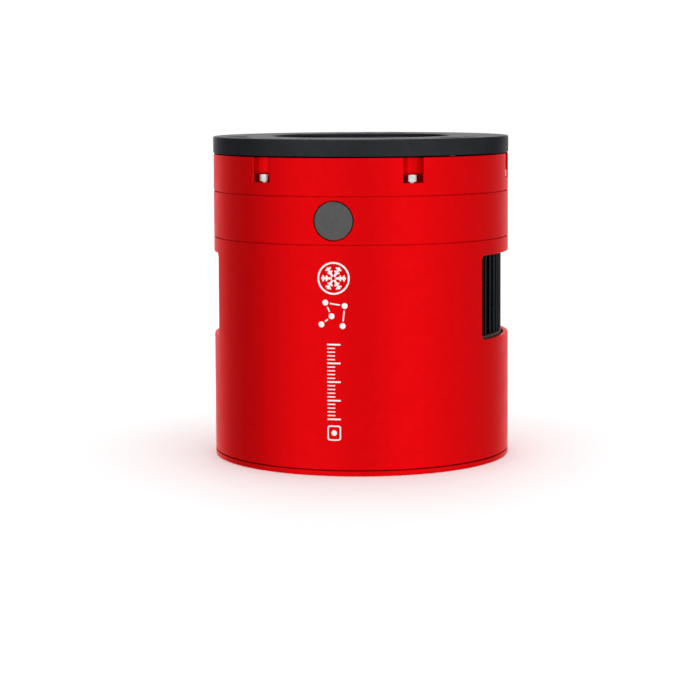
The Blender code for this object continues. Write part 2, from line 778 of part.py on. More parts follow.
def blade_into(bm, degrees, middle):
    """One open blade surface. It twists less and reaches further round as it goes out."""
    along, across = 4, 4
    grid = bmesh.ops.create_grid(bm, x_segments=along, y_segments=across, size=1.0)
    root = HUB_RADIUS - 0.4 * MM
    for vert in grid["verts"]:
        share, chord = (vert.co.x + 1.0) / 2.0, vert.co.y
        radius = root + (BLADE_TIP - root) * share
        half_span = 15.0 + 5.0 * share
        turn = degrees + chord * half_span + 12.0 * share
        arch = 0.9 * MM * (1.0 - chord * chord)
        height = middle + chord * (4.3 - 0.7 * share) * MM + arch
        vert.co = polar(radius, turn, height)


def fan_hole_places():
    """The fan's four screw holes, from its own centre."""
    offsets = (-FAN_HOLE_OFFSET, FAN_HOLE_OFFSET)
    return [(x, y) for x in offsets for y in offsets]


def make_main_board():
    """The main board lets the fan's air through, and carries the processor and the ports."""
    board = rod("main_board", BOARD_RADIUS, BOARD_BOTTOM, BOARD_TOP, CIRCUIT, sides=FINE)
    below, above = BOARD_BOTTOM - MM, BOARD_TOP + MM

    def air_hole(bm):
        rod_into(bm, FAN_DUCT, below, above, FAN_CENTRE.xy, sides=MEDIUM)

    def post_holes(bm):
        for angle in POST_ANGLES:
            rod_into(bm, 3.1 * MM, below, above, polar(POST_RADIUS, angle).xy)

    boolean(board, cutter("board_air_hole", air_hole))
    boolean(board, cutter("board_post_holes", post_holes))
    chip_low = BOARD_TOP + GAP
    box(
        "image_processor",
        (-8.5 * MM, 19.0 * MM, chip_low),
        (8.5 * MM, 36.0 * MM, chip_low + 1.8 * MM),
        PLASTIC,
    )


def make_posts():
    """Four hexagon posts between the rear cover and the shroud. The rear screws thread into them."""
    low, high = REAR_COVER_THICKNESS + GAP, SHROUD_BOTTOM - GAP
    post = rod("post", 2.6 * MM, low, high, BRASS, sides=6, group=CUTTERS)
    hole = cutter("post_hole", lambda bm: rod_into(bm, 1.65 * MM, low - MM, low + 8 * MM))
    mesh = take_mesh(boolean(post, hole))
    for i, angle in enumerate(POST_ANGLES, 1):
        add(f"board_post_{i}", mesh, BRASS, polar(POST_RADIUS, angle))


def socket(name, centre, size, cavity, tongue, look):
    """A port's shell, open at the rear, with a contact tongue standing in its cavity."""
    x, y = centre
    shell = box(
        name,
        (x - size[0] / 2, y - size[1] / 2, PORT_BOTTOM),
        (x + size[0] / 2, y + size[1] / 2, PORT_TOP),
        look,
    )
    floor = PORT_BOTTOM + 9.0 * MM

    def hollow(bm):
        low = (x - cavity[0] / 2, y - cavity[1] / 2, PORT_BOTTOM - MM)
        block_into(bm, low, (x + cavity[0] / 2, y + cavity[1] / 2, floor))

    def contact(bm):
        low = (x - tongue[0] / 2, y - tongue[1] / 2, PORT_BOTTOM + 0.8 * MM)
        block_into(bm, low, (x + tongue[0] / 2, y + tongue[1] / 2, floor + MM))

    boolean(shell, cutter(name + "_hollow", hollow))
    boolean(shell, cutter(name + "_tongue", contact), "UNION")


def make_ports():
    cavity, tongue = (9.2 * MM, 8.4 * MM), (5.6 * MM, 3.2 * MM)
    socket("usb3_port", (USB3_X, PORT_ROW), USB3_SIZE, cavity, tongue, STEEL)
    cavity, tongue = (5.0 * MM, 12.3 * MM), (1.9 * MM, 11.0 * MM)
    for i, x in enumerate(USB2_XS, 1):
        socket(f"usb2_port_{i}", (x, PORT_ROW), USB2_SIZE, cavity, tongue, STEEL)
    hole_floor = PORT_BOTTOM + 9.5 * MM
    turned(
        "power_jack",
        [
            (0.0, PORT_TOP),
            (JACK_RADIUS, PORT_TOP),
            (JACK_RADIUS, PORT_BOTTOM),
            (3.1 * MM, PORT_BOTTOM),
            (3.1 * MM, hole_floor),
            (1.0 * MM, hole_floor),
            (1.0 * MM, PORT_BOTTOM + 1.0 * MM),
            (0.0, PORT_BOTTOM + 1.0 * MM),
        ],
        PLASTIC,
        sides=24,
        location=(JACK_X, PORT_ROW, 0.0),
    )


def make_rear_cover():
    """The cover the camera stands on: a spigot inside the shell, the fan grille, port cut-outs and
    countersinks for eight screws."""
    edge, bevel, top, rim = BODY_RADIUS, 0.35 * MM, REAR_COVER_THICKNESS, REAR_COVER_RIM
    spigot_outer = BODY_RADIUS - SHELL_WALL - GAP
    profile = [
        (0.0, top),
        (spigot_outer - 1.6 * MM, top),
        (spigot_outer - 1.6 * MM, top + 2.0 * MM),
        (spigot_outer, top + 2.0 * MM),
        (spigot_outer, rim),
        (edge, rim),
        (edge, bevel),
        (edge - bevel, 0.0),
        (0.0, 0.0),
    ]
    cover = turned("rear_cover", profile, RED)
    below, above = -MM, top + MM

    def cut_outs(bm):
        sockets = [(USB3_X, USB3_SIZE)] + [(x, USB2_SIZE) for x in USB2_XS]
        for x, size in sockets:
            reach_x, reach_y = size[0] / 2 + GAP, size[1] / 2 + GAP
            low = (x - reach_x, PORT_ROW - reach_y, below)
            block_into(bm, low, (x + reach_x, PORT_ROW + reach_y, above))
        rod_into(bm, JACK_RADIUS + GAP, below, above, (JACK_X, PORT_ROW), sides=24)

    def countersinks(bm):
        for place in rear_screw_places() + fan_screw_places():
            rod_into(bm, 4.5 * MM, below, 2.0 * MM, place, sides=16, top_radius=1.09 * MM)

    def screw_holes(bm):
        for place in rear_screw_places() + fan_screw_places():
            rod_into(bm, 1.8 * MM, below, above, place)

    def grille(bm):
        for i in range(GRILLE_RINGS):
            inner = (6.5 + 4.1 * i) * MM
            rib = math.degrees(1.3 * MM / inner)
            for quarter in (45.0, 135.0, 225.0, 315.0):
                ends = (quarter + rib, quarter + 90.0 - rib)
                arc_into(bm, (inner, inner + 2.4 * MM), (below, above), ends)

    boolean(cover, cutter("port_cut_outs", cut_outs))
    boolean(cover, cutter("rear_countersinks", countersinks))
    boolean(cover, cutter("rear_screw_holes", screw_holes))
    tool = cutter("fan_grille", grille)
    tool.location = FAN_CENTRE
    boolean(cover, tool)


def arc_into(bm, radii, heights, ends, steps=6):
    """A slot bent round the axis, between two radii, two heights and two angles."""
    sections = []
    for i in range(steps + 1):
        turn = ends[0] + (ends[1] - ends[0]) * i / steps
        corners = ((0, 0), (1, 0), (1, 1), (0, 1))
        sections.append([bm.verts.new(polar(radii[a], turn, heights[b])) for a, b in corners])
    faces = [bm.faces.new(sections[0]), bm.faces.new(list(reversed(sections[-1])))]
    for a, b in zip(sections, sections[1:]):
        for i in range(4):
            j = (i + 1) % 4
            faces.append(bm.faces.new((a[j], a[i], b[i], b[j])))
    bmesh.ops.recalc_face_normals(bm, faces=faces)


def rear_screw_places():
    return [polar(POST_RADIUS, angle).xy for angle in POST_ANGLES]


def fan_screw_places():
    return [Vector(place) + FAN_CENTRE.xy for place in fan_hole_places()]


def make_rear_screws():
    """Countersunk screws: four into the posts and four through the fan's corners."""
    rear = countersunk_screw_mesh("rear_screw", 2.5 * MM, 1.4 * MM, 1.25 * MM, 9.0 * MM, 0.9 * MM)
    for i, place in enumerate(rear_screw_places(), 1):
        add(f"rear_screw_{i}", rear, STEEL, (*place, 0.15 * MM))
    fan = countersunk_screw_mesh("fan_screw", 2.5 * MM, 1.4 * MM, 1.25 * MM, 12.0 * MM, 0.9 * MM)
    for i, place in enumerate(fan_screw_places(), 1):
        add(f"fan_screw_{i}", fan, STEEL, (*place, 0.15 * MM))


def axis_empty(name, location):
    empty = bpy.data.objects.new(name, None)
    empty.location = location
    PARTS.objects.link(empty)
    return empty


clear_scene()
PARTS = collection("cooled_astronomy_camera")
CUTTERS = collection("cutters")
TILT_AXIS = axis_empty("tilt_axis", (0.0, PAIR_RADIUS, TILT_PLATE_BOTTOM))
FAN_AXIS = axis_empty("fan_axis", FAN_CENTRE)

make_tilt_plate(TILT_AXIS)
make_tilt_screws(TILT_AXIS)
make_front_housing()
make_front_screws()
make_window()
make_middle_housing()
make_desiccant_port()
make_cooler(*make_sensor())
make_heat_sink()
make_shell()
make_shroud()
make_fan(FAN_AXIS)
make_main_board()
make_posts()
make_ports()
make_rear_cover()
make_rear_screws()
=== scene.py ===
"""The looks of the cooled astronomy camera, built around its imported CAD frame.

The optical axis is +Z and the camera stands on z = 0. Angles round the axis are counted from -Y
towards +X, as in the CAD. Lengths are in metres.
"""

import json
import math
import random

import bmesh
import bpy
from mathutils import Matrix, Vector


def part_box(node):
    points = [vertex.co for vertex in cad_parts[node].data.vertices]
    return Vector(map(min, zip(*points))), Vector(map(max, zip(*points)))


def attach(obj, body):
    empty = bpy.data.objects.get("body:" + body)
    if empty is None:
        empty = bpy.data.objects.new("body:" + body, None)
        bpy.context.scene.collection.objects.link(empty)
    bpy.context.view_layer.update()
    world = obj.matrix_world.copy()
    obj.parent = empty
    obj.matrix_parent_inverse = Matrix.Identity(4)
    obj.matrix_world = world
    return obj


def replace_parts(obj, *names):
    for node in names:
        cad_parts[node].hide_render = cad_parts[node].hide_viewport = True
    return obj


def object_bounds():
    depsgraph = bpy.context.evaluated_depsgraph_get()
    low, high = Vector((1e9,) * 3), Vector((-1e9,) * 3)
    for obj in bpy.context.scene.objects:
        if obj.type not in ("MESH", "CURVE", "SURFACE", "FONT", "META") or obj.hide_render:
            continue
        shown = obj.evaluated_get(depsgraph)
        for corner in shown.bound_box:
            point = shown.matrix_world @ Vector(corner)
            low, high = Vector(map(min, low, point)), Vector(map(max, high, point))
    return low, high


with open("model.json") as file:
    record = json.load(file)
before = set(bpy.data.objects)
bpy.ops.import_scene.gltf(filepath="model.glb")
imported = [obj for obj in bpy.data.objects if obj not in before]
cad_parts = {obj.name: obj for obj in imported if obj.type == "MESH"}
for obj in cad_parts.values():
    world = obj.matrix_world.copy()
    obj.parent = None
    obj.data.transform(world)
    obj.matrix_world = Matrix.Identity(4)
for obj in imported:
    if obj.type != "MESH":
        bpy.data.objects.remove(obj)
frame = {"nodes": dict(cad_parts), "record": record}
CAD_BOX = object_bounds()

MM = 0.001
RIM_SIDES = 240  # sides of the large round pieces
SHARP_ANGLE = 32.0
BODY_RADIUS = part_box("main_shell")[1].x
PLATE_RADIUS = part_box("tilt_plate")[1].x
SLOT_OF = {part["node"]: part["material_slot"] for part in frame["record"]["subparts"]}
BODIES = frame["record"]["behaviour"]["bodies"]
BODY_OF = {node: body for body, nodes in BODIES.items() for node in nodes}


# ---- camera, light and floor

CAMERA_AZIMUTH = 10.2
CAMERA_DISTANCE = 648 * MM
CAMERA_HEIGHT = 113.6 * MM
CAMERA_PITCH = 4.4
CAMERA_YAW = 0.30
CAMERA_ROLL = 0.26


def make_camera():
    data = bpy.data.cameras.new("camera")
    data.sensor_width = 36.0
    data.lens = 109.0
    data.shift_y = -0.1514
    cam = bpy.data.objects.new("camera", data)
    bpy.context.scene.collection.objects.link(cam)
    cam.location = polar(CAMERA_DISTANCE, CAMERA_AZIMUTH, CAMERA_HEIGHT)
    heading = Matrix.Rotation(math.radians(CAMERA_AZIMUTH + CAMERA_YAW), 4, "Z")
    tilt = Matrix.Rotation(math.radians(90.0 - CAMERA_PITCH), 4, "X")
    roll = Matrix.Rotation(math.radians(-CAMERA_ROLL), 4, "Z")
    cam.rotation_euler = (heading @ tilt @ roll).to_euler()
    bpy.context.scene.camera = cam


def polar(radius, degrees, z=0.0):
    angle = math.radians(degrees)
    return Vector((radius * math.sin(angle), -radius * math.cos(angle), z))


def make_light():
    """A white studio with darker strips at the sides, and a broad soft sun overhead.

    The stops are (angle from the camera towards its right, brightness).
    """
    world = bpy.data.worlds.new("studio")
    bpy.context.scene.world = world
    world.use_nodes = True
    tree = world.node_tree
    nodes, links = tree.nodes, tree.links
    nodes.clear()
    out = nodes.new("ShaderNodeOutputWorld")
    background = nodes.new("ShaderNodeBackground")
    coordinates = nodes.new("ShaderNodeTexCoord")
    turn = nodes.new("ShaderNodeMapping")
    turn.inputs["Rotation"].default_value[2] = math.radians(90.0 - CAMERA_AZIMUTH)
    split = nodes.new("ShaderNodeSeparateXYZ")
    angle = nodes.new("ShaderNodeMath")
    angle.operation = "ARCTAN2"
    share = nodes.new("ShaderNodeMapRange")
    share.inputs["From Min"].default_value = -math.pi
    share.inputs["From Max"].default_value = math.pi
    ramp = nodes.new("ShaderNodeValToRGB")
    ramp.color_ramp.interpolation = "EASE"
    stops = [
        (-180.0, 1.0),
        (-150.0, 0.92),
        (-122.0, 0.52),
        (-96.0, 0.46),
        (-70.0, 0.80),
        (-44.0, 1.03),
        (-22.0, 1.00),
        (0.0, 0.82),
        (12.0, 0.88),
        (30.0, 1.14),
        (48.0, 1.04),
        (70.0, 0.90),
        (100.0, 0.76),
        (128.0, 0.62),
        (150.0, 0.92),
        (180.0, 1.0),
    ]
    elements = ramp.color_ramp.elements
    while len(elements) > 1:
        elements.remove(elements[0])
    for index, (degrees, level) in enumerate(stops):
        position = (degrees + 180.0) / 360.0
        element = elements[0] if index == 0 else elements.new(position)
        element.position = position
        element.color = (level, level, level, 1.0)
    links.new(coordinates.outputs["Generated"], turn.inputs["Vector"])
    links.new(turn.outputs["Vector"], split.inputs["Vector"])
    links.new(split.outputs["Y"], angle.inputs[0])
    links.new(split.outputs["X"], angle.inputs[1])
    links.new(angle.outputs["Value"], share.inputs["Value"])
    links.new(share.outputs["Result"], ramp.inputs["Fac"])
    links.new(ramp.outputs["Color"], background.inputs["Color"])
    background.inputs["Strength"].default_value = 1.03
    links.new(background.outputs["Background"], out.inputs["Surface"])
    data = bpy.data.lights.new("overhead", "SUN")
    data.energy = 1.1
    data.angle = math.radians(70.0)
    light = bpy.data.objects.new("overhead", data)
    bpy.context.scene.collection.objects.link(light)


def make_floor():
    side, rows = 3.0, 24
    bm = bmesh.new()
    bmesh.ops.create_grid(bm, x_segments=rows, y_segments=rows, size=side)
    floor = new_object("floor", bm, MATERIALS["floor"], stage=True)
    floor.location.z = CAD_BOX[0].z - 0.02 * MM
    floor.visible_glossy = False


# ---- node materials


class Shader:
    """A node material, with short ways to add what most of them share."""

    def __init__(self, name, colour, roughness, metallic=0.0):
        self.name = name
        self.material = bpy.data.materials.new(name)
        self.material.use_nodes = True
        self.tree = self.material.node_tree
        self.shader = self.tree.nodes["Principled BSDF"]
        self.set("Base Color", (*colour, 1.0))
        self.set("Roughness", roughness)
        self.set("Metallic", metallic)
        self.bumps = None

    def set(self, socket, value):
        self.shader.inputs[socket].default_value = value

    def node(self, kind, **settings):
        made = self.tree.nodes.new(kind)
        for key, value in settings.items():
            setattr(made, key, value)
        return made

    def link(self, a, b):
        self.tree.links.new(a, b)

    def coordinates(self, stretch):
        source = self.node("ShaderNodeTexCoord")
        mapping = self.node("ShaderNodeMapping")
        mapping.inputs["Scale"].default_value = stretch
        self.link(source.outputs["Object"], mapping.inputs["Vector"])
        return mapping.outputs["Vector"]

    def noise(self, scale, detail=3.0, stretch=(1.0, 1.0, 1.0)):
        texture = self.node("ShaderNodeTexNoise")
        texture.inputs["Scale"].default_value = scale
        texture.inputs["Detail"].default_value = detail
        self.link(self.coordinates(stretch), texture.inputs["Vector"])
        return texture.outputs["Fac"]

    def map(self, value, low, high, from_low=0.3, from_high=0.7):
        node = self.node("ShaderNodeMapRange")
        node.inputs["From Min"].default_value = from_low
        node.inputs["From Max"].default_value = from_high
        node.inputs["To Min"].default_value = low
        node.inputs["To Max"].default_value = high
        self.link(value, node.inputs["Value"])
        return node.outputs["Result"]

    def vary_roughness(self, low, high, *noise):
        self.link(self.map(self.noise(*noise), low, high), self.shader.inputs["Roughness"])

    def vary_colour(self, first, second, *noise):
        mix = self.node("ShaderNodeMix", data_type="RGBA")
        mix.inputs[6].default_value = (*first, 1.0)
        mix.inputs[7].default_value = (*second, 1.0)
        self.link(self.map(self.noise(*noise), 0.0, 1.0, 0.35, 0.65), mix.inputs[0])
        self.link(mix.outputs[2], self.shader.inputs["Base Color"])

    def bump(self, height, strength, *noise):
        """Adds a bump of this height in millimetres to those that are there."""
        value = self.noise(*noise)
        node = self.node("ShaderNodeBump")
        node.inputs["Strength"].default_value = strength
        node.inputs["Distance"].default_value = height * MM
        self.link(value, node.inputs["Height"])
        if self.bumps:
            self.link(self.bumps, node.inputs["Normal"])
        self.bumps = node.outputs["Normal"]
        self.link(self.bumps, self.shader.inputs["Normal"])


def anodised(name, colour, worn, roughness, tint):
    """Bead-blasted and anodised aluminium: a fine even grain, and faint clouds in its gloss.

    The tint is the colour of its reflections at a grazing angle.
    """
    shader = Shader(name, colour, roughness, 1.0)
    shader.vary_roughness(roughness - 0.035, roughness + 0.035, 160.0, 4.0)
    shader.vary_colour(colour, worn, 420.0, 5.0)
    shader.bump(0.004, 0.5, 9000.0, 2.0)
    shader.bump(0.008, 0.35, 2300.0, 3.0)
    shader.set("Specular Tint", (*tint, 1.0))
    return shader


# name: colour, roughness, metallic, and what varies it. Each variation ends with its noise's scale,
# detail and stretch. A bump starts with its height in millimetres and its strength.
MATERIAL_TABLE = {
    "plug_grey": (
        ((0.062, 0.062, 0.063), 0.52, 0.0),
        ("vary_colour", (0.058, 0.058, 0.059), (0.067, 0.067, 0.068), 700.0, 4.0),
        ("vary_roughness", 0.48, 0.58, 300.0),
        ("bump", 0.006, 0.6, 7000.0, 2.0),
    ),
    "steel": (
        ((0.80, 0.79, 0.77), 0.24, 1.0),
        ("vary_roughness", 0.18, 0.32, 1500.0, 3.0),
        ("vary_colour", (0.82, 0.81, 0.79), (0.70, 0.69, 0.67), 600.0, 3.0),
        ("bump", 0.003, 0.5, 5000.0, 2.0, (1.0, 1.0, 0.2)),
    ),
    "plated_shell": (
        ((0.78, 0.77, 0.74), 0.2, 1.0),
        ("vary_roughness", 0.15, 0.3, 800.0, 3.0, (1.0, 1.0, 6.0)),
        ("bump", 0.003, 0.5, 4000.0, 2.0),
    ),
    "seal_rubber": (
        ((0.018, 0.018, 0.018), 0.7, 0.0),
        ("vary_roughness", 0.6, 0.8, 900.0),
        ("bump", 0.01, 0.5, 4000.0),
    ),
    "window_glass": (
        ((0.96, 1.0, 0.985), 0.0, 0.0),
        ("set", "Transmission Weight", 1.0),
        ("set", "IOR", 1.46),
        ("set", "Coat Weight", 0.0),
        ("bump", 0.0005, 0.2, 60.0, 1.0),
    ),
    "circuit_board": (
        ((0.008, 0.050, 0.022), 0.35, 0.0),
        ("vary_colour", (0.006, 0.042, 0.018), (0.012, 0.070, 0.034), 1200.0, 1.0, (1.0, 0.08, 1.0)),
        ("bump", 0.02, 0.5, 1200.0, 1.0, (0.08, 1.0, 1.0)),
    ),
    "ceramic": (
        ((0.78, 0.76, 0.72), 0.45, 0.0),
        ("vary_colour", (0.80, 0.78, 0.74), (0.74, 0.72, 0.68), 500.0),
        ("bump", 0.005, 0.4, 5000.0),
    ),
    "package_ceramic": (
        ((0.030, 0.028, 0.027), 0.5, 0.0),
        ("vary_roughness", 0.45, 0.6, 900.0),
        ("bump", 0.004, 0.5, 6000.0),
    ),
    "sensor_silicon": (
        ((0.020, 0.055, 0.050), 0.10, 0.75),
        # the die's slow drift from blue-green to olive across it is a painted iridescent sheen
        ("vary_colour", (0.016, 0.050, 0.055), (0.045, 0.050, 0.030), 35.0, 1.0),
        ("bump", 0.001, 0.3, 8000.0, 1.0),
    ),
    "gold_pads": (
        ((0.90, 0.62, 0.24), 0.28, 1.0),
        ("vary_roughness", 0.22, 0.36, 3000.0),
    ),
    "copper": (
        ((0.78, 0.34, 0.17), 0.30, 1.0),
        ("vary_roughness", 0.22, 0.4, 700.0),
        ("vary_colour", (0.80, 0.36, 0.19), (0.62, 0.26, 0.13), 300.0),
        ("bump", 0.01, 0.5, 3000.0),
    ),
    "brass": (
        ((0.78, 0.58, 0.25), 0.28, 1.0),
        ("vary_roughness", 0.22, 0.36, 800.0),
        ("vary_colour", (0.80, 0.60, 0.27), (0.66, 0.48, 0.20), 300.0),
    ),
    "foam": (
        ((0.030, 0.030, 0.033), 0.95, 0.0),
        ("vary_colour", (0.020, 0.020, 0.022), (0.050, 0.050, 0.054), 1800.0),
        ("bump", 0.12, 0.8, 1800.0),
    ),
    "heater_film": (
        ((0.58, 0.24, 0.03), 0.35, 0.0),
        ("vary_colour", (0.60, 0.26, 0.03), (0.48, 0.18, 0.02), 900.0),
    ),
    "black_plastic": (
        ((0.016, 0.016, 0.018), 0.45, 0.0),
        ("vary_roughness", 0.38, 0.52, 500.0),
        ("bump", 0.015, 0.5, 3500.0, 3.0),
    ),
    "port_blue": (
        ((0.010, 0.090, 0.420), 0.42, 0.0),
        ("vary_roughness", 0.36, 0.5, 700.0),
        ("bump", 0.006, 0.5, 4000.0),
    ),
    "desiccant_white": (
        ((0.84, 0.83, 0.79), 0.85, 0.0),
        ("vary_colour", (0.88, 0.87, 0.84), (0.72, 0.70, 0.64), 2500.0),
        ("bump", 0.08, 0.8, 2500.0),
    ),
    "magnet": (
        ((0.09, 0.09, 0.10), 0.6, 0.3),
        ("vary_roughness", 0.5, 0.7, 900.0),
        ("bump", 0.01, 0.5, 4000.0),
    ),
    "print_white": (
        ((0.90, 0.90, 0.90), 0.45, 0.0),
        ("vary_colour", (0.93, 0.93, 0.93), (0.84, 0.83, 0.83), 2600.0, 4.0),
        ("vary_roughness", 0.38, 0.52, 1200.0),
        ("bump", 0.004, 0.5, 6000.0),
    ),
    "floor": (
        ((0.93, 0.93, 0.93), 0.65, 0.0),
        ("vary_colour", (0.94, 0.94, 0.94), (0.92, 0.92, 0.92), 3.0, 2.0),
        ("set", "Specular IOR Level", 0.2),
    ),
}


def make_materials():
    red_tint, black_tint = (1.0, 0.6, 0.6), (0.5, 0.5, 0.52)
    red = anodised("red_anodised", (0.80, 0.0030, 0.0050), (0.775, 0.0026, 0.0044), 0.36, red_tint)
    black = anodised("black_anodised", (0.027, 0.028, 0.031), (0.031, 0.032, 0.036), 0.34, black_tint)
    fins = anodised("fin_black", (0.016, 0.018, 0.021), (0.021, 0.023, 0.027), 0.38, black_tint)
    fins.bump(0.01, 0.5, 900.0, 2.0, (1.0, 1.0, 0.04))
    made = {shader.name: shader.material for shader in (red, black, fins)}
    for name, (basis, *variations) in MATERIAL_TABLE.items():
        shader = Shader(name, *basis)
        for method, *values in variations:
            getattr(shader, method)(*values)
        made[name] = shader.material
    return made


# ---- mesh helpers


def new_object(name, bm, material, node=None, stage=False, extra=()):
    """Turns the bmesh into a shown object, which rides with the CAD node's body and has its slot."""
    bmesh.ops.remove_doubles(bm, verts=bm.verts, dist=0.0005 * MM)
    bmesh.ops.recalc_face_normals(bm, faces=bm.faces)
    mesh = bpy.data.meshes.new(name)
    bm.to_mesh(mesh)
    bm.free()
    for item in (material, *extra):
        mesh.materials.append(item)
    mesh.shade_smooth()
    mesh.set_sharp_from_angle(angle=math.radians(SHARP_ANGLE))
    obj = bpy.data.objects.new(name, mesh)
    bpy.context.scene.collection.objects.link(obj)
    if stage:
        return obj
    weighted = obj.modifiers.new("Even shading", "WEIGHTED_NORMAL")
    weighted.keep_sharp = True
    weighted.weight = 100
    if node:
        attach(obj, BODY_OF[node])
    return obj


def stand_in(name, bm, look, node, *extra_looks):
    """A piece of the named material, shown instead of the CAD node."""
    extra = [MATERIALS[extra_look] for extra_look in extra_looks]
    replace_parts(new_object(name, bm, MATERIALS[look], node, extra=extra), node)


def loft(bm, rings, closed_along=False, material=0):
    """Quads between closed rings of points that all have the same count."""
    rows = [[bm.verts.new(p) for p in ring] for ring in rings]
    pairs = list(zip(rows, rows[1:]))
    if closed_along:
        pairs.append((rows[-1], rows[0]))
    for a, b in pairs:
        count = len(a)
        for i in range(count):
            j = (i + 1) % count
            corners = (a[i], a[j], b[j], b[i])
            if len({tuple(round(c, 9) for c in v.co) for v in corners}) > 2:
                bm.faces.new(corners).material_index = material
    return rows


def circle(radius, sides, centre=(0.0, 0.0), start=0.0, clockwise=False):
    """A closed 2-D loop of points."""
    turn = -1.0 if clockwise else 1.0
    points = []
    for i in range(sides):
        angle = math.radians(start) + turn * 2.0 * math.pi * i / sides
        points.append((centre[0] + radius * math.cos(angle), centre[1] + radius * math.sin(angle)))
    return points


def lathe(bm, profile, sides=RIM_SIDES, matrix=Matrix.Identity(4), closed=True, material=0):
    """Turns (radius, z, fillet) points about Z. A fillet rounds that corner."""
    points = rounded_path(profile, closed)
    rings = []
    for radius, z in points:
        ring = [matrix @ Vector((x, y, z)) for x, y in circle(max(radius, 1e-7), sides)]
        rings.append(ring)
    loft(bm, rings, closed_along=closed, material=material)


def rounded_path(points, closed=True, steps=5):
    """(x, y, fillet) points with each corner that has a fillet replaced by a smooth curve."""
    result = []
    count = len(points)
    for i, point in enumerate(points):
        x, y = point[0], point[1]
        fillet = point[2] if len(point) > 2 else 0.0
        ends = not closed and i in (0, count - 1)
        if fillet <= 0.0 or ends:
            result.append((x, y))
            continue
        corner = Vector((x, y))
        before = Vector(points[i - 1][:2]) - corner
        after = Vector(points[(i + 1) % count][:2]) - corner
        reach = min(fillet, 0.49 * before.length, 0.49 * after.length)
        first = corner + before.normalized() * reach
        last = corner + after.normalized() * reach
        for k in range(steps + 1):
            t = k / steps
            p = (1 - t) * (1 - t) * first + 2 * t * (1 - t) * corner + t * t * last
            result.append((p.x, p.y))
    return result


def inset_loop(loop, distance):
    """Moves a closed loop to its left, the side where the material is, by the distance."""
    if distance == 0.0:
        return list(loop)
    count = len(loop)
    moved = []
    for i in range(count):
        here = Vector(loop[i])
        before = (here - Vector(loop[i - 1])).normalized()
        after = (Vector(loop[(i + 1) % count]) - here).normalized()
        left = Vector((-(before.y + after.y), before.x + after.x))
        if left.length < 1e-6:
            left = Vector((-after.y, after.x))
        left.normalize()
        lean = max(0.5, left.dot(Vector((-after.y, after.x))))
        place = here + left * (distance / lean)
        moved.append((place.x, place.y))
    return moved


def slab(bm, loops, low, high, top=0.0, bottom=0.0, place=None, steps=4, material=0):
    """A flat piece: an outer loop that runs anticlockwise, and holes that run clockwise.

    Its upper and lower edges are rounded by top and bottom. place(x, y, z) says where a point goes.
    """
    place = place or (lambda x, y, z: Vector((x, y, z)))
    layers = []
    for k in range(steps + 1 if bottom else 1):
        angle = math.pi / 2 * k / steps
        layers.append((bottom * (1 - math.sin(angle)), low + bottom * (1 - math.cos(angle))))
    for k in range(steps + 1 if top else 1):
        angle = math.pi / 2 * k / steps
        layers.append((top * (1 - math.cos(angle)), high - top * (1 - math.sin(angle))))
    lowest, highest = [], []
    for loop in loops:
        rings = []
        for inset, z in layers:
            rings.append([place(x, y, z) for x, y in inset_loop(loop, inset)])
        rows = loft(bm, rings, material=material)
        lowest.append(rows[0])
        highest.append(rows[-1])
    for rows in (lowest, highest):
        edges = []
        for row in rows:
            for a, b in zip(row, row[1:] + row[:1]):
                edges.append(bm.edges.get((a, b)) or bm.edges.new((a, b)))
        filled = bmesh.ops.triangle_fill(bm, use_beauty=True, use_dissolve=False, edges=edges)
        for item in filled["geom"]:
            if isinstance(item, bmesh.types.BMFace):
                item.material_index = material


def wrapped_slab(loops, wall, top, bottom, half_length, step):
    """A slab drawn flat as (way round, height), cut into strips so that it can bend."""
    bm = bmesh.new()
    slab(bm, loops, -wall, 0.0, top, bottom)
    count = int(round(2 * half_length / step))
    for i in range(count + 1):
        s = -half_length + 2 * half_length * i / count
        geometry = bm.verts[:] + bm.edges[:] + bm.faces[:]
        bmesh.ops.bisect_plane(
            bm,
            geom=geometry,
            dist=1e-8,
            plane_co=(s, 0, 0),
            plane_no=(1, 0, 0),
            clear_inner=(i == 0),
            clear_outer=(i == count),
        )
    return bm


def wrap(bm, radius):
    for vert in bm.verts:
        s, height, depth = vert.co
        vert.co = polar(radius + depth, math.degrees(s / radius), height)
    return bm


def rounded_rectangle(centre, size, radius, clockwise=False, steps=6):
    cx, cy = centre
    hx, hy = size[0] / 2, size[1] / 2
    corners = [(hx, hy, 0.0), (-hx, hy, 90.0), (-hx, -hy, 180.0), (hx, -hy, 270.0)]
    points = []
    for x, y, start in corners:
        ox = cx + x - math.copysign(radius, x)
        oy = cy + y - math.copysign(radius, y)
        for k in range(steps + 1):
            angle = math.radians(start + 90.0 * k / steps)
            points.append((ox + radius * math.cos(angle), oy + radius * math.sin(angle)))
    return list(reversed(points)) if clockwise else points


def centre_of(node):
    low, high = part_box(node)
    return (low + high) / 2


# ---- red housings

NOTCH_RADIUS = 3.05 * MM
NOTCH_CENTRE = 44.4 * MM
NOTCH_FLOOR = 84.4 * MM
POCKET_TOP = 87.0 * MM
POCKET_BACK = 40.0 * MM
NOTCH_ANGLES = tuple(30.0 + 60.0 * i for i in range(6))
NOTCH_STEPS = 24
SEAM = 0.3 * MM
SPAN_STEPS = 30


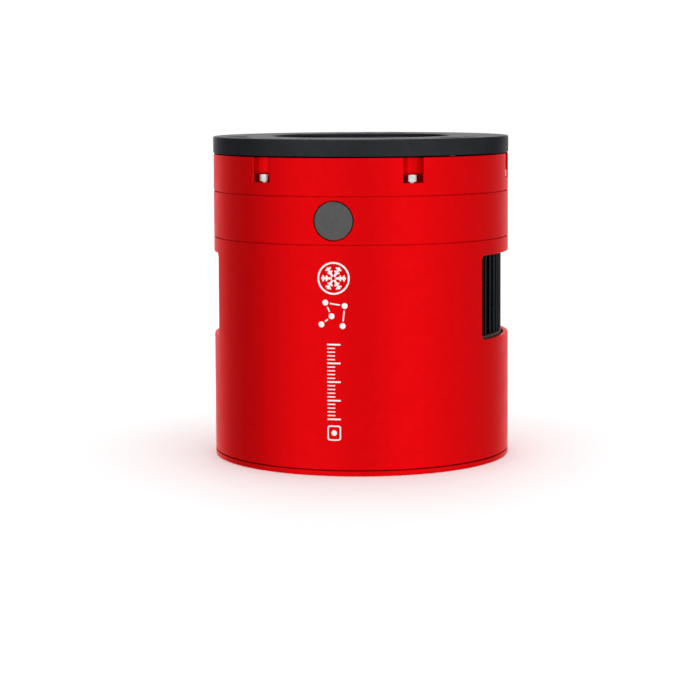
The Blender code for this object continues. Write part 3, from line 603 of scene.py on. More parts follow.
def notch_path(kind):
    """Half-notch outlines across -Y, as (x, y), from the left mouth to the right one."""
    cos_mouth = BODY_RADIUS**2 + NOTCH_CENTRE**2 - NOTCH_RADIUS**2
    cos_mouth /= 2 * BODY_RADIUS * NOTCH_CENTRE
    mouth = math.degrees(math.acos(cos_mouth))
    lip = math.degrees(0.3 * MM / BODY_RADIUS)
    start, corner = polar(BODY_RADIUS, -mouth - lip).xy, polar(BODY_RADIUS, -mouth).xy
    if kind == "none":
        points = []
        for k in range(NOTCH_STEPS + 1):
            turn = -mouth - lip + 2 * (mouth + lip) * k / NOTCH_STEPS
            points.append(tuple(polar(BODY_RADIUS, turn).xy))
        return points, mouth + lip
    if kind == "groove":
        path = [start, corner]
        first = math.atan2(corner.y + NOTCH_CENTRE, corner.x)
        first = first if first > 0 else first + 2 * math.pi
        last = math.pi - first
        for k in range(1, 40):
            angle = first + (last - first) * k / 40
            x, y = NOTCH_RADIUS * math.cos(angle), NOTCH_RADIUS * math.sin(angle)
            path.append(Vector((x, y - NOTCH_CENTRE)))
    else:
        half = -corner.x
        flat = [(-half, -POCKET_BACK, 0.6 * MM), (half, -POCKET_BACK, 0.6 * MM)]
        ends = [(-half, corner.y, 0.0), (half, corner.y, 0.0)]
        rounded = rounded_path(ends[:1] + flat + ends[1:], closed=False)
        path = [start, corner] + [Vector(p) for p in rounded[1:-1]]
    mirror_corner = Vector((-corner.x, corner.y))
    path += [mirror_corner, Vector((-start.x, start.y))]
    return resample(path, NOTCH_STEPS), mouth + lip


def resample(path, steps):
    """Evenly spaced points along a path, with its ends kept."""
    lengths = [0.0]
    for a, b in zip(path, path[1:]):
        lengths.append(lengths[-1] + (b - a).length)
    points = []
    index = 0
    for k in range(steps + 1):
        goal = lengths[-1] * k / steps
        while index < len(path) - 2 and lengths[index + 1] < goal:
            index += 1
        part = (goal - lengths[index]) / max(lengths[index + 1] - lengths[index], 1e-12)
        point = path[index].lerp(path[index + 1], min(max(part, 0.0), 1.0))
        points.append((point.x, point.y))
    return points


def front_outline(kind):
    """The front housing's outline, all the way round, with a notch of this kind at each place."""
    path, mouth = notch_path(kind)
    outline = []
    for angle in NOTCH_ANGLES:
        turn = Matrix.Rotation(math.radians(angle), 2)
        outline += [tuple(turn @ Vector(p)) for p in path]
        for k in range(1, SPAN_STEPS):
            between = angle + mouth + (60.0 - 2 * mouth) * k / SPAN_STEPS
            outline.append(tuple(polar(BODY_RADIUS, between).xy))
    return outline


def make_front_housing():
    low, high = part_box("front_housing")
    bore, opening = 31.6 * MM, 26.8 * MM
    seat = 83.0 * MM
    plain, pocket, groove = (front_outline(kind) for kind in ("none", "pocket", "groove"))
    angles = [math.atan2(y, x) for x, y in plain]

    def inner(radius):
        return [(radius * math.cos(a), radius * math.sin(a)) for a in angles]

    edge = 0.22 * MM
    layers = [(inner(opening), low.z)]
    for k in range(5):
        angle = math.pi / 2 * k / 4
        inset, rise = edge * (1 - math.sin(angle)), edge * (1 - math.cos(angle))
        layers.append((inset_loop(plain, inset), low.z + rise))
    layers.append((plain, NOTCH_FLOOR - 0.12 * MM))
    layers.append((blend_loops(plain, pocket, 0.02), NOTCH_FLOOR - 0.03 * MM))
    layers.append((blend_loops(plain, pocket, 0.04), NOTCH_FLOOR))
    layers.append((pocket, NOTCH_FLOOR))
    layers.append((pocket, POCKET_TOP))
    layers.append((groove, POCKET_TOP))
    for k in range(5):
        angle = math.pi / 2 * k / 4
        inset, drop = edge * (1 - math.cos(angle)), edge * (1 - math.sin(angle))
        layers.append((inset_loop(groove, inset), high.z - drop))
    layers += [(inner(bore), high.z), (inner(bore), seat), (inner(opening), seat)]
    bm = bmesh.new()
    rings = [[Vector((x, y, z)) for x, y in loop] for loop, z in layers]
    loft(bm, rings, closed_along=True)
    stand_in("front_housing_shell", bm, "red_anodised", "front_housing")


def blend_loops(a, b, share):
    return [tuple(Vector(p).lerp(Vector(q), share)) for p, q in zip(a, b)]


def unrolled_band(half_length, low, high):
    """The outline of a ring's wall laid flat. Its ends reach past the cut that trims them."""
    reach = half_length + MM
    return [(-reach, low), (reach, low), (reach, high), (-reach, high)]


def make_middle_housing():
    low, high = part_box("middle_housing")
    wall, length = 2.4 * MM, math.pi * BODY_RADIUS
    outline = unrolled_band(length, low.z, high.z)
    plug = centre_of("desiccant_plug")
    hole = circle(5.85 * MM, 96, (0.0, plug.z), clockwise=True)
    bm = wrapped_slab([outline, hole], wall, 0.16 * MM, 0.0, length, 2 * length / RIM_SIDES)
    wrap(bm, BODY_RADIUS)
    for edge in (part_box("main_shell")[1].z, high.z):
        outer, inner = 44.1 * MM, 43.4 * MM
        lip = [(outer, edge), (outer, edge + SEAM), (inner, edge + SEAM), (inner, edge)]
        lathe(bm, lip)
    inside = BODY_RADIUS - wall
    lathe(
        bm,
        [
            (inside, high.z),
            (inside, low.z),
            (22.0 * MM, low.z),
            (22.0 * MM, 69.5 * MM),
            (33.5 * MM, 69.5 * MM),
            (33.5 * MM, high.z),
        ],
        96,
    )
    stand_in("middle_housing_shell", bm, "red_anodised", "middle_housing")


def make_main_shell():
    low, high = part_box("main_shell")
    wall, length = 1.5 * MM, math.pi * BODY_RADIUS
    outline = unrolled_band(length, low.z, high.z)
    vent_low, vent_high = 37.2 * MM, 62.2 * MM
    vent_size = (2 * math.radians(27.3) * BODY_RADIUS, vent_high - vent_low)
    loops = [outline]
    for side in (-1.0, 1.0):
        centre = (side * length / 2, (vent_low + vent_high) / 2)
        loops.append(rounded_rectangle(centre, vent_size, 1.6 * MM, clockwise=True))
    bm = wrapped_slab(loops, wall, 0.2 * MM, 0.15 * MM, length, 2 * length / RIM_SIDES)
    wrap(bm, BODY_RADIUS)
    stand_in("main_shell_tube", bm, "red_anodised", "main_shell")


FAN_CENTRE = Vector((0.0, -8.0 * MM))
SCREW_RADIUS = 3.3 * MM


def make_rear_cover():
    low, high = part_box("rear_cover")
    thickness, rim, spigot_outer = 2.2 * MM, 1.5 * MM, 43.1 * MM
    loops = [circle(BODY_RADIUS, RIM_SIDES)]
    for i in range(4):
        inner = (6.5 + 4.1 * i) * MM
        rib = math.degrees(1.3 * MM / inner)
        for quarter in (45.0, 135.0, 225.0, 315.0):
            loops.append(arc_slot(inner, inner + 2.4 * MM, quarter + rib, quarter + 90.0 - rib))
    for name in ("usb3_port", "usb2_port_1", "usb2_port_2"):
        a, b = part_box(name)
        centre = ((a.x + b.x) / 2, (a.y + b.y) / 2)
        size = (b.x - a.x + 0.6 * MM, b.y - a.y + 0.6 * MM)
        loops.append(rounded_rectangle(centre, size, 0.6 * MM, clockwise=True))
    jack = centre_of("power_jack")
    loops.append(circle(4.9 * MM, 48, (jack.x, jack.y), clockwise=True))
    screws = [centre_of(f"{kind}_screw_{i}") for kind in ("rear", "fan") for i in range(1, 5)]
    for place in screws:
        loops.append(circle(SCREW_RADIUS, 40, (place.x, place.y), clockwise=True))
    bm = bmesh.new()
    slab(bm, loops, low.z, rim, 0.08 * MM, 0.35 * MM)
    slab(bm, [circle(spigot_outer, RIM_SIDES)] + loops[1:], rim - 0.2 * MM, thickness)
    for place in screws:
        sink = [
            (SCREW_RADIUS, 0.35 * MM),
            (1.6 * MM, 1.7 * MM),
            (1.6 * MM, thickness),
            (SCREW_RADIUS, thickness),
        ]
        lathe(bm, sink, 40, Matrix.Translation((place.x, place.y, 0.0)))
    spigot = [
        (spigot_outer, thickness),
        (spigot_outer, high.z, 0.3 * MM),
        (41.5 * MM, high.z, 0.3 * MM),
        (41.5 * MM, thickness),
    ]
    lathe(bm, spigot, 144)
    stand_in("rear_cover_disc", bm, "red_anodised", "rear_cover")


def arc_slot(inner, outer, first, last, steps=18):
    """A clockwise loop round a bent slot with round corners, about the fan's axis."""
    corners = []
    for k in range(steps + 1):
        corners.append((outer, first + (last - first) * k / steps))
    for k in range(steps + 1):
        corners.append((inner, last - (last - first) * k / steps))
    fillets = {0, steps, steps + 1, 2 * steps + 1}
    points = []
    for index, (radius, angle) in enumerate(corners):
        place = polar(radius, angle).xy + FAN_CENTRE
        points.append((place.x, place.y, 0.5 * MM if index in fillets else 0.0))
    return list(reversed(rounded_path(points)))


# ---- tilt plate and window


def make_tilt_plate():
    low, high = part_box("tilt_plate")
    bore = 26.9 * MM
    loops = [circle(PLATE_RADIUS, RIM_SIDES), circle(bore, RIM_SIDES, clockwise=True)]
    pulls = [centre_of(f"pull_screw_{i}") for i in (1, 2, 3)]
    pushes = [centre_of(f"push_screw_{i}") for i in (1, 2, 3)]
    for place in pulls:
        loops.append(circle(3.1 * MM, 48, (place.x, place.y), clockwise=True))
    for place in pushes:
        loops.append(circle(1.85 * MM, 40, (place.x, place.y), clockwise=True))
    bm = bmesh.new()
    slab(bm, loops, low.z, high.z, 0.45 * MM, 0.3 * MM, steps=5)
    floor = high.z - 3.2 * MM
    for place in pulls:
        wide, narrow, under = 3.1 * MM, 1.85 * MM, low.z + MM
        step = [(wide, floor), (wide, under), (narrow, under), (narrow, floor)]
        lathe(bm, step, 48, Matrix.Translation((place.x, place.y, 0.0)))
    thread_into(bm, 26.62 * MM, 26.95 * MM, low.z + 0.3 * MM, high.z - 0.7 * MM, 0.75 * MM)
    stand_in("tilt_plate_disc", bm, "black_anodised", "tilt_plate")


def thread_into(bm, crest, root, low, high, pitch, sides=RIM_SIDES):
    """A screw thread inside a bore, as one sheet that winds up from the bottom to the top."""
    rows_per_turn = 6
    turns = (high - low) / pitch
    rows = int(turns * rows_per_turn)
    rings = []
    for k in range(rows + 1):
        z = low + (high - low) * k / rows
        ring = []
        for i in range(sides):
            share = i / sides
            phase = (z / pitch + share) % 1.0
            ridge = abs(2.0 * phase - 1.0)
            depth = min(max((ridge - 0.12) / 0.76, 0.0), 1.0)
            fade = min(1.0, k / 3.0, (rows - k) / 3.0)
            radius = root - (root - crest) * depth * fade
            ring.append(polar(radius, 360.0 * share, z))
        rings.append(ring)
    loft(bm, rings)


def make_window():
    low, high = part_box("window_retainer")
    loops = [circle(31.2 * MM, 180), circle(26.0 * MM, 180, clockwise=True)]
    for angle in (90.0, 270.0):
        centre = polar(29.2 * MM, angle).xy
        size = (2.4 * MM, 1.8 * MM)
        loops.append(rounded_rectangle(centre, size, 0.4 * MM, clockwise=True))
    bm = bmesh.new()
    slab(bm, loops, low.z, high.z, 0.3 * MM, 0.1 * MM)
    stand_in("window_retaining_ring", bm, "black_anodised", "window_retainer")

    low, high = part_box("window_glass")
    bm = bmesh.new()
    radius = high.x
    profile = [(0.0, high.z), (radius, high.z, 0.25 * MM), (radius, low.z, 0.25 * MM), (0.0, low.z)]
    lathe(bm, profile, 160, closed=False)
    stand_in("protective_window", bm, "window_glass", "window_glass")

    low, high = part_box("window_heater")
    bm = bmesh.new()
    film = [circle(29.6 * MM, 160), circle(27.0 * MM, 160, clockwise=True)]
    slab(bm, film, low.z, high.z, 0.08 * MM)
    stand_in("dew_heater_film", bm, "heater_film", "window_heater")


def make_sensor():
    low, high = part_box("sensor_package")
    size = (high.x - low.x, high.y - low.y)
    cavity_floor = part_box("sensor_die")[0].z - 0.3 * MM
    bm = bmesh.new()
    outer = rounded_rectangle((0, 0), size, 1.2 * MM)
    step = rounded_rectangle((0, 0), (39 * MM, 27 * MM), 0.8 * MM, clockwise=True)
    slab(bm, [outer, step], cavity_floor, high.z, 0.15 * MM)
    slab(bm, [outer], low.z, cavity_floor - 0.002 * MM)
    random.seed(7)
    for side in (-1.0, 1.0):
        for k in range(46):
            x = (-17.6 + 35.2 * k / 45) * MM
            size = (0.42 * MM, 0.5 * MM)
            pad = rounded_rectangle((x, side * 12.95 * MM), size, 0.08 * MM, steps=2)
            top = cavity_floor + (0.10 + 0.02 * random.random()) * MM
            slab(bm, [pad], cavity_floor, top, material=1)
    stand_in("sensor_package_frame", bm, "package_ceramic", "sensor_package", "gold_pads")

    low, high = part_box("sensor_die")
    bm = bmesh.new()
    outline = rounded_rectangle((0, 0), (high.x - low.x, high.y - low.y), 0.2 * MM)
    slab(bm, [outline], low.z, high.z, 0.04 * MM)
    stand_in("sensor_die_chip", bm, "sensor_silicon", "sensor_die")

    low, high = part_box("sensor_cover_glass")
    bm = bmesh.new()
    outline = rounded_rectangle((0, 0), (high.x - low.x, high.y - low.y), 0.5 * MM)
    slab(bm, [outline], low.z, high.z, 0.1 * MM, 0.1 * MM)
    stand_in("sensor_cover", bm, "window_glass", "sensor_cover_glass")

    low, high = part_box("sensor_board")
    bm = bmesh.new()
    slab(bm, [circle(high.x, 160)], low.z, high.z, 0.1 * MM, 0.1 * MM)
    random.seed(11)
    for k in range(54):
        angle = 360.0 * k / 54 + random.uniform(-2, 2)
        if abs(math.cos(math.radians(angle))) < 0.72:
            continue
        centre = polar(random.uniform(20.5, 30.0) * MM, angle).xy
        long_side, short_side = random.choice(((1.6, 0.8), (1.0, 0.5), (3.2, 2.2)))
        outline = rounded_rectangle(centre, (long_side * MM, short_side * MM), 0.08 * MM, steps=2)
        top = high.z + random.uniform(0.35, 0.7) * MM
        slab(bm, [outline], high.z, top, 0.05 * MM, material=1 if short_side < 2 else 2)
    stand_in("sensor_circuit_board", bm, "circuit_board", "sensor_board", "ceramic", "black_plastic")


def make_plug():
    low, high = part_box("desiccant_plug")
    face, back = -low.y, -high.y
    middle = centre_of("desiccant_plug").z
    outward = Matrix.Translation((0, 0, middle)) @ Matrix.Rotation(math.pi / 2, 4, "X")
    bm = bmesh.new()
    profile = [
        (0.0, face),
        (5.55 * MM, face, 0.18 * MM),
        (5.55 * MM, face - 1.7 * MM, 0.1 * MM),
        (3.7 * MM, face - 1.7 * MM),
        (3.7 * MM, 41.5 * MM, 0.1 * MM),
        (2.4 * MM, 41.5 * MM),
        (2.4 * MM, 39.4 * MM),
        (3.7 * MM, 39.4 * MM, 0.1 * MM),
        (3.7 * MM, back, 0.3 * MM),
        (0.0, back),
    ]
    lathe(bm, profile, 128, outward, closed=False)
    stand_in("desiccant_plug_body", bm, "plug_grey", "desiccant_plug")


# ---- screws


def hexagon(radius):
    """A clockwise loop for a socket."""
    return list(reversed(circle(radius, 6, start=30.0)))


def cap_screw(bm, radius, height, socket, shank, length, place, teeth=26):
    """A cap screw whose knurled head stands on place, with a hexagon socket in it."""
    outer = []
    for k in range(teeth * 4):
        tooth = 0.5 - 0.5 * math.cos(2.0 * math.pi * k / 4.0)
        r = radius - 0.025 * radius * tooth
        angle = 2.0 * math.pi * k / (teeth * 4)
        outer.append((r * math.cos(angle), r * math.sin(angle)))
    floor = 0.42 * height

    def put(x, y, z):
        return place + Vector((x, y, z))

    chamfer = 0.09 * radius
    slab(bm, [outer, hexagon(socket)], floor, height, chamfer, 0.0, put)
    slab(bm, [outer], 0.0, floor - 0.001 * MM, 0.0, 0.05 * radius, put)
    rings = []
    for r, z in ((shank, 0.0), (shank, -length + 0.3 * MM), (shank - 0.3 * MM, -length)):
        rings.append([put(x, y, z) for x, y in circle(r, 32)])
    rows = loft(bm, rings)
    bm.faces.new(rows[-1])


def screw_head_seat(node, head_height):
    """Where the head rests, on the screw's axis."""
    return centre_of(node).xy.to_3d() + Vector((0, 0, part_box(node)[1].z - head_height))


def make_screws():
    for i in range(1, 7):
        node, height = f"front_screw_{i}", 2.05 * MM
        bm = bmesh.new()
        seat = screw_head_seat(node, height)
        cap_screw(bm, 1.72 * MM, height, 0.87 * MM, 1.0 * MM, 9.0 * MM, seat)
        stand_in(f"{node}_part", bm, "steel", node)
    for i in range(1, 4):
        node, height = f"pull_screw_{i}", 2.6 * MM
        bm = bmesh.new()
        seat = screw_head_seat(node, height)
        cap_screw(bm, 2.7 * MM, height, 1.45 * MM, 1.5 * MM, 6.8 * MM, seat, teeth=32)
        stand_in(f"{node}_part", bm, "steel", node)
        headless_or_countersunk(f"push_screw_{i}", grub_screw)
    for kind in ("rear", "fan"):
        for i in range(1, 5):
            headless_or_countersunk(f"{kind}_screw_{i}", countersunk_screw)


def headless_or_countersunk(node, build):
    (low, high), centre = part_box(node), centre_of(node)
    bm = bmesh.new()
    build(bm, centre.x, centre.y, low.z, high.z)
    stand_in(f"{node}_part", bm, "steel", node)


def grub_screw(bm, x, y, low, high):
    """A headless screw with a thread, a flat point and a hexagon socket."""
    place = Matrix.Translation((x, y, 0.0))
    slab(
        bm,
        [circle(1.5 * MM, 48), hexagon(0.87 * MM)],
        high - 1.9 * MM,
        high,
        0.25 * MM,
        place=lambda a, b, c: place @ Vector((a, b, c)),
    )
    rings = []
    rows = 44
    base = high - 1.9 * MM
    for k in range(rows + 1):
        z = low + 0.5 * MM + (base - low - 0.5 * MM) * k / rows
        ring = []
        for i in range(48):
            phase = (z / (0.5 * MM) + i / 48.0) % 1.0
            radius = 1.5 * MM - 0.22 * MM * (1.0 - abs(2.0 * phase - 1.0))
            ring.append(place @ polar(radius, 7.5 * i, z))
        rings.append(ring)
    point = [place @ polar(0.9 * MM, 7.5 * i, low) for i in range(48)]
    rows_made = loft(bm, [point] + rings)
    bm.faces.new(rows_made[0])
    bm.faces.new(rows_made[-1])


def countersunk_screw(bm, x, y, low, high):
    """A countersunk screw whose flat head looks down."""

    def put(a, b, c):
        return Vector((x + a, y - b, low - c))

    floor = -1.1 * MM
    slab(bm, [circle(2.5 * MM, 64), hexagon(0.9 * MM)], floor + 0.8 * MM, 0.0, 0.06 * MM, place=put)
    rings = []
    length = (high - low) / MM
    shapes = ((2.5, -0.3), (1.25, -1.4), (1.25, 0.3 - length), (0.95, -length))
    for radius, z in shapes:
        rings.append([put(a, b, z * MM) for a, b in circle(radius * MM, 64)])
    rows = loft(bm, rings)
    bm.faces.new(rows[-1])
    socket = []
    for z in (0.8 * MM + floor, floor):
        socket.append([put(a, b, z) for a, b in hexagon(0.9 * MM)])
    rows = loft(bm, socket)
    bm.faces.new(rows[-1])


# ---- cooling


def make_heat_sink():
    low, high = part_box("heat_sink")
    base = 62.6 * MM
    bm = bmesh.new()
    profile = [
        (0.0, high.z),
        (high.x, high.z, 0.3 * MM),
        (high.x, base, 0.4 * MM),
        (13.5 * MM, base, 1.0 * MM),
        (13.5 * MM, low.z, 0.5 * MM),
        (0.0, low.z),
    ]
    lathe(bm, profile, 180, closed=False)
    count = 84
    for i in range(count):
        inner = 12.0 * MM if i % 2 == 0 else 24.0 * MM
        fin_into(bm, (i + 0.5) * 360.0 / count, inner, 42.7 * MM, low.z, base + MM)
    stand_in("heat_sink_fins", bm, "fin_black", "heat_sink")


def fin_into(bm, degrees, inner, outer, low, high):
    """A fin that is a little thinner at its lower end, with a rounded outer edge."""
    half = 0.55 * MM
    turn = Matrix.Rotation(math.radians(degrees), 4, "Z")
    fillet = 0.4 * MM
    left = [(-half, -inner, 0.0), (-half, -outer, fillet)]
    right = [(half, -outer, fillet), (half, -inner, 0.0)]
    loop = rounded_path(left + right, steps=4)

    def put(x, y, z):
        share = (high - z) / (high - low)
        return turn @ Vector((x * (1.0 - 0.12 * share), y, z))

    slab(bm, [loop], low, high, 0.0, 0.3 * MM, put, steps=2)


def make_fan():
    low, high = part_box("fan_frame")
    centre = (low + high) / 2
    half = (high.x - low.x) / 2
    duct = 23.6 * MM

    def put(x, y, z):
        return Vector((x + centre.x, y + centre.y, z))

    bm = bmesh.new()
    outline = rounded_rectangle((0, 0), (2 * half, 2 * half), 4.0 * MM, steps=8)
    holes = [circle(duct, 144, clockwise=True)]
    for x in (-20 * MM, 20 * MM):
        for y in (-20 * MM, 20 * MM):
            holes.append(circle(1.85 * MM, 32, (x, y), clockwise=True))
    ear = 3.2 * MM
    slab(bm, [outline] + holes, low.z, low.z + ear, 0.3 * MM, 0.3 * MM, put)
    slab(bm, [outline] + holes, high.z - ear, high.z, 0.3 * MM, 0.3 * MM, put)
    tube = [circle(24.9 * MM, 144), circle(duct, 144, clockwise=True)]
    slab(bm, tube, low.z + ear - 0.3 * MM, high.z - ear + 0.3 * MM, place=put)
    mount_low = high.z - 1.8 * MM
    slab(bm, [circle(10.6 * MM, 96)], mount_low, high.z, 0.3 * MM, 0.2 * MM, put)
    for angle in (45.0, 135.0, 225.0, 315.0):
        turn = Matrix.Rotation(math.radians(angle), 4, "Z")
        strut = rounded_rectangle((0.0, -17.3 * MM), (2.6 * MM, 14.6 * MM), 0.3 * MM, steps=2)

        def strut_put(x, y, z, turn=turn):
            return put(0, 0, 0) + turn @ Vector((x, y, z))

        slab(bm, [strut], mount_low + 0.1 * MM, high.z - 0.1 * MM, 0.2 * MM, 0.2 * MM, strut_put)
    stand_in("fan_frame_moulding", bm, "black_plastic", "fan_frame")
    make_rotor(centre)
    make_stator()


def make_rotor(centre):
    low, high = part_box("fan_rotor")
    radius, wall = 11.0 * MM, 0.8 * MM
    place = Matrix.Translation((centre.x, centre.y, 0.0))
    bm = bmesh.new()
    face, floor = low.z, low.z + 1.2 * MM
    profile = [
        (0.0, floor),
        (radius - wall, floor, 0.3 * MM),
        (radius - wall, high.z, 0.2 * MM),
        (radius, high.z, 0.2 * MM),
        (radius, face, 0.9 * MM),
        (7.4 * MM, face, 0.2 * MM),
        (7.2 * MM, face + 0.15 * MM, 0.1 * MM),
        (0.0, face + 0.15 * MM),
    ]
    lathe(bm, profile, 120, place, closed=False)
    middle = (face + high.z) / 2
    for i in range(7):
        blade_into(bm, 360.0 * i / 7, middle, place)
    stand_in("fan_rotor_moulding", bm, "black_plastic", "fan_rotor")


def blade_into(bm, degrees, middle, place, along=14, across=12, thickness=1.0 * MM):
    """A twisted blade with round edges, as a closed skin round its middle surface."""
    root, tip = 10.6 * MM, 22.8 * MM

    def middle_point(share, chord):
        radius = root + (tip - root) * share
        turn = degrees + chord * (15.0 + 5.0 * share) + 12.0 * share
        arch = 0.9 * MM * (1.0 - chord * chord)
        return polar(radius, turn, middle + chord * (4.3 - 0.7 * share) * MM + arch)

    rings = []
    for i in range(along + 1):
        share = i / along
        ring = []
        for side in (1.0, -1.0):
            for j in range(across + 1):
                chord = side * (1.0 - 2.0 * j / across)
                step = 0.01
                point = middle_point(share, chord)
                across_way = middle_point(share, chord + step) - middle_point(share, chord - step)
                along_way = middle_point(share + step, chord) - middle_point(share - step, chord)
                normal = across_way.cross(along_way).normalized()
                thin = math.sqrt(max(0.0, 1.0 - abs(chord) ** 6))
                ring.append(place @ (point + normal * (side * 0.5 * thickness * thin)))
        rings.append(ring)
    rows = loft(bm, rings)
    bm.faces.new(rows[0])
    bm.faces.new(rows[-1])


STATOR_ARM = ((-40, 8.5), (-20, 8.5), (0, 8.5), (20, 8.5), (40, 8.5), (41, 7.2), (45, 4.2))


def make_stator():
    low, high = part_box("fan_stator")
    centre = (low + high) / 2
    bm = bmesh.new()

    def put(x, y, z):
        return Vector((centre.x + x, centre.y + y, z))

    outline = []
    arms = 4
    for arm in range(arms):
        middle = 360.0 * arm / arms
        for offset, radius in STATOR_ARM:
            outline.append(tuple(polar(radius * MM, middle + offset).xy))
    hole = circle(2.6 * MM, 48, clockwise=True)
    thickness = 0.5 * MM
    z = low.z
    while z + thickness < high.z:
        slab(bm, [outline, hole], z, z + 0.42 * MM, place=put)
        z += thickness
    stand_in("fan_stator_core", bm, "copper", "fan_stator")


# ---- electronics and ports


# Length, width, height and material of the small parts on the main board
BOARD_PARTS = ((1.6, 0.8, 0.5, 1), (1.0, 0.5, 0.4, 1), (3.4, 2.6, 1.1, 2))


def make_main_board():
    low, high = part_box("main_board")
    loops = [circle(high.x, 200), circle(23.6 * MM, 120, tuple(FAN_CENTRE), clockwise=True)]
    for i in range(1, 5):
        place = centre_of(f"board_post_{i}")
        loops.append(circle(3.1 * MM, 32, (place.x, place.y), clockwise=True))
    bm = bmesh.new()
    slab(bm, loops, low.z, high.z, 0.1 * MM, 0.1 * MM)
    random.seed(3)
    made = 0
    posts = [centre_of(f"board_post_{k}").xy for k in range(1, 5)]
    chip_low, chip_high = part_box("image_processor")
    while made < 46:
        place = polar(random.uniform(27.0, 39.5) * MM, random.uniform(0.0, 360.0)).xy
        near_chip = abs(place.x) < chip_high.x + 3 * MM and place.y > chip_low.y - 3 * MM
        near_duct = (place - FAN_CENTRE).length < 26.5 * MM
        near_post = any((place - post).length < 6 * MM for post in posts)
        if near_chip or near_duct or near_post:
            continue
        length, width, height, look = random.choice(BOARD_PARTS)
        outline = rounded_rectangle(place, (length * MM, width * MM), 0.08 * MM, steps=2)
        slab(bm, [outline], high.z, high.z + height * MM, 0.05 * MM, material=look)
        made += 1
    stand_in("main_circuit_board", bm, "circuit_board", "main_board", "ceramic", "black_plastic")


def usb_port(node, cavity, tongue, tongue_look, strips, strip_size):
    """A metal can, open at the rear, and a contact tongue with gilt strips along it."""
    low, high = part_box(node)
    centre = ((low.x + high.x) / 2, (low.y + high.y) / 2)
    outer = rounded_rectangle(centre, (high.x - low.x, high.y - low.y), 0.5 * MM)
    inner = rounded_rectangle(centre, cavity, 0.35 * MM, clockwise=True)
    floor = low.z + 9.0 * MM
    bm = bmesh.new()
    slab(bm, [outer, inner], low.z, floor, 0.0, 0.18 * MM)
    slab(bm, [outer], floor + 0.001 * MM, high.z)
    shape = rounded_rectangle(centre, tongue, 0.2 * MM, steps=3)
    slab(bm, [shape], low.z + 0.8 * MM, low.z + 9.5 * MM, 0.0, 0.2 * MM, material=1)
    for x, y in strips:
        place = (centre[0] + x * MM, centre[1] + y * MM)
        strip = rounded_rectangle(place, strip_size, 0.05 * MM, steps=2)
        slab(bm, [strip], low.z + 1.4 * MM, floor, material=2)
    stand_in(node + "_can", bm, "plated_shell", node, tongue_look, "gold_pads")


def make_ports():
    cavity, tongue, strip_size = (5.0 * MM, 12.3 * MM), (1.9 * MM, 11.0 * MM), (0.12 * MM, 1.1 * MM)
    strips = [(0.98, -3.75 + 2.5 * k) for k in range(4)]
    for node in ("usb2_port_1", "usb2_port_2"):
        usb_port(node, cavity, tongue, "black_plastic", strips, strip_size)
    cavity, tongue, strip_size = (9.2 * MM, 8.4 * MM), (5.6 * MM, 3.2 * MM), (0.9 * MM, 0.12 * MM)
    strips = [(x, y) for y in (-1.62, 1.62) for x in (-1.25, 1.25)]
    usb_port("usb3_port", cavity, tongue, "port_blue", strips, strip_size)

    low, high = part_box("power_jack")
    centre = (low + high) / 2
    place = Matrix.Translation((centre.x, centre.y, 0.0))
    bm = bmesh.new()
    hole_floor = low.z + 9.5 * MM
    profile = [
        (0.0, high.z),
        (4.6 * MM, high.z, 0.3 * MM),
        (4.6 * MM, low.z, 0.3 * MM),
        (3.1 * MM, low.z, 0.3 * MM),
        (3.1 * MM, hole_floor),
        (0.0, hole_floor),
    ]
    lathe(bm, profile, 80, place, closed=False)
    pin = [(1.0 * MM, hole_floor), (1.0 * MM, low.z + 1.0 * MM, 0.4 * MM), (0.0, low.z + 1.0 * MM)]
    lathe(bm, pin, 40, place, closed=False, material=1)
    stand_in("power_jack_body", bm, "black_plastic", "power_jack", "steel")


# ---- print on the shell

SNOWFLAKE = Vector((0.0, 57.3 * MM))
STARS = ((-3.6, 44.0), (-0.6, 46.4), (-2.4, 50.3), (3.2, 49.4), (2.6, 43.6))
SCALE_LOW, SCALE_HIGH, SCALE_TICKS = 16.6 * MM, 38.2 * MM, 21
FRAME_CENTRE = (0.0, 12.6 * MM)


def bar(a, b, width):
    """A straight stroke as a closed loop."""
    a, b = Vector(a), Vector(b)
    along = (b - a).normalized() * (width * 0.1)
    side = Vector((-along.y, along.x)) * 5.0
    return [tuple(p) for p in (a - side - along, b - side + along, b + side + along, a + side - along)]


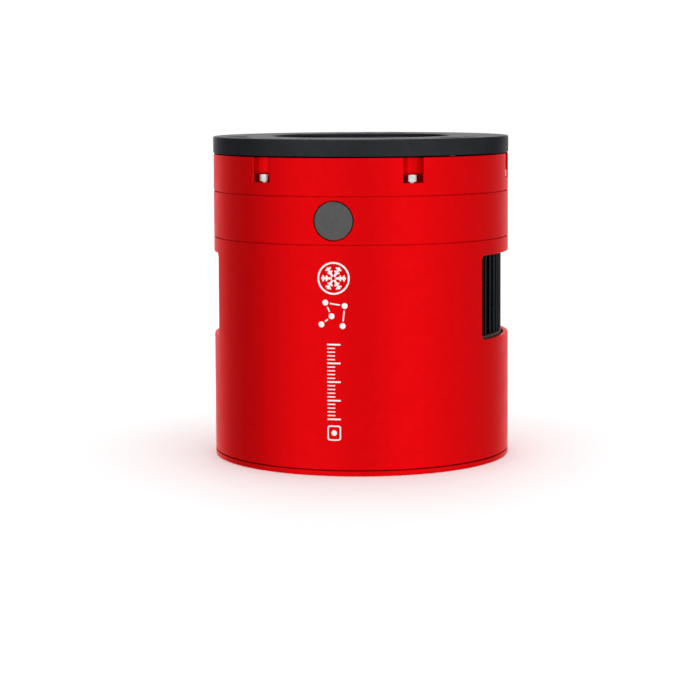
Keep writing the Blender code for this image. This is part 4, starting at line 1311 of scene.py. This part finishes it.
def print_shapes():
    """A ringed snowflake, a few joined stars, a plain scale of ticks and a framed dot.

    Each shape is a list of loops of (way round, height).
    """
    shapes = []
    for arm in range(6):
        angle = 30.0 + 60.0 * arm
        way = polar(1.0, angle).xy
        shapes.append([bar(SNOWFLAKE + way * 0.6 * MM, SNOWFLAKE + way * 3.5 * MM, 0.62 * MM)])
        for reach, length in ((1.6, 0.9), (2.6, 1.0)):
            joint = SNOWFLAKE + way * (reach * MM)
            for lean in (-55.0, 55.0):
                shapes.append([bar(joint, joint + polar(length * MM, angle + lean).xy, 0.42 * MM)])
    ring = circle(4.7 * MM, 72, SNOWFLAKE)
    shapes.append([ring, circle(4.2 * MM, 72, SNOWFLAKE, clockwise=True)])
    stars = [Vector(star) * MM for star in STARS]
    for star in stars:
        shapes.append([circle(0.85 * MM, 24, star)])
    for a, b in zip(stars, stars[1:]):
        reach = (b - a).normalized() * (1.4 * MM)
        shapes.append([bar(a + reach, b - reach, 0.38 * MM)])
    for k in range(SCALE_TICKS):
        height = SCALE_LOW + (SCALE_HIGH - SCALE_LOW) * k / (SCALE_TICKS - 1)
        end, width = (1.9 * MM, 0.46 * MM) if k % 5 == 0 else (0.3 * MM, 0.32 * MM)
        shapes.append([bar((-1.9 * MM, height), (end, height), width)])
    outer = rounded_rectangle(FRAME_CENTRE, (4.0 * MM, 4.4 * MM), 0.8 * MM)
    inner = rounded_rectangle(FRAME_CENTRE, (3.2 * MM, 3.6 * MM), 0.5 * MM, clockwise=True)
    shapes.append([outer, inner])
    shapes.append([circle(0.8 * MM, 32, FRAME_CENTRE)])
    return shapes


def make_print():
    whole = bmesh.new()
    for loops in print_shapes():
        reach = max(abs(p[0]) for p in loops[0]) + 0.5 * MM
        bm = wrapped_slab(loops, 0.03 * MM, 0.0, 0.0, reach, 0.6 * MM)
        for vert in bm.verts:
            vert.co.z += 0.015 * MM
        wrap(bm, BODY_RADIUS)
        mesh = bpy.data.meshes.new("shape")
        bm.to_mesh(mesh)
        bm.free()
        whole.from_mesh(mesh)
        bpy.data.meshes.remove(mesh)
    obj = new_object("printed_mark", whole, MATERIALS["print_white"])
    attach(obj, BODY_OF["main_shell"])


# ---- put together


def finish_cad_nodes():
    """Gives the CAD nodes that stay a node material from here."""
    for name, obj in frame["nodes"].items():
        material = MATERIALS[SLOT_OF[name]]
        for slot in obj.material_slots:
            slot.material = material


MATERIALS = make_materials()
finish_cad_nodes()
make_camera()
make_light()
make_floor()
make_front_housing()
make_middle_housing()
make_main_shell()
make_rear_cover()
make_tilt_plate()
make_window()
make_sensor()
make_plug()
make_screws()
make_heat_sink()
make_fan()
make_main_board()
make_ports()
make_print()
bpy.context.scene.view_settings.view_transform = "Standard"
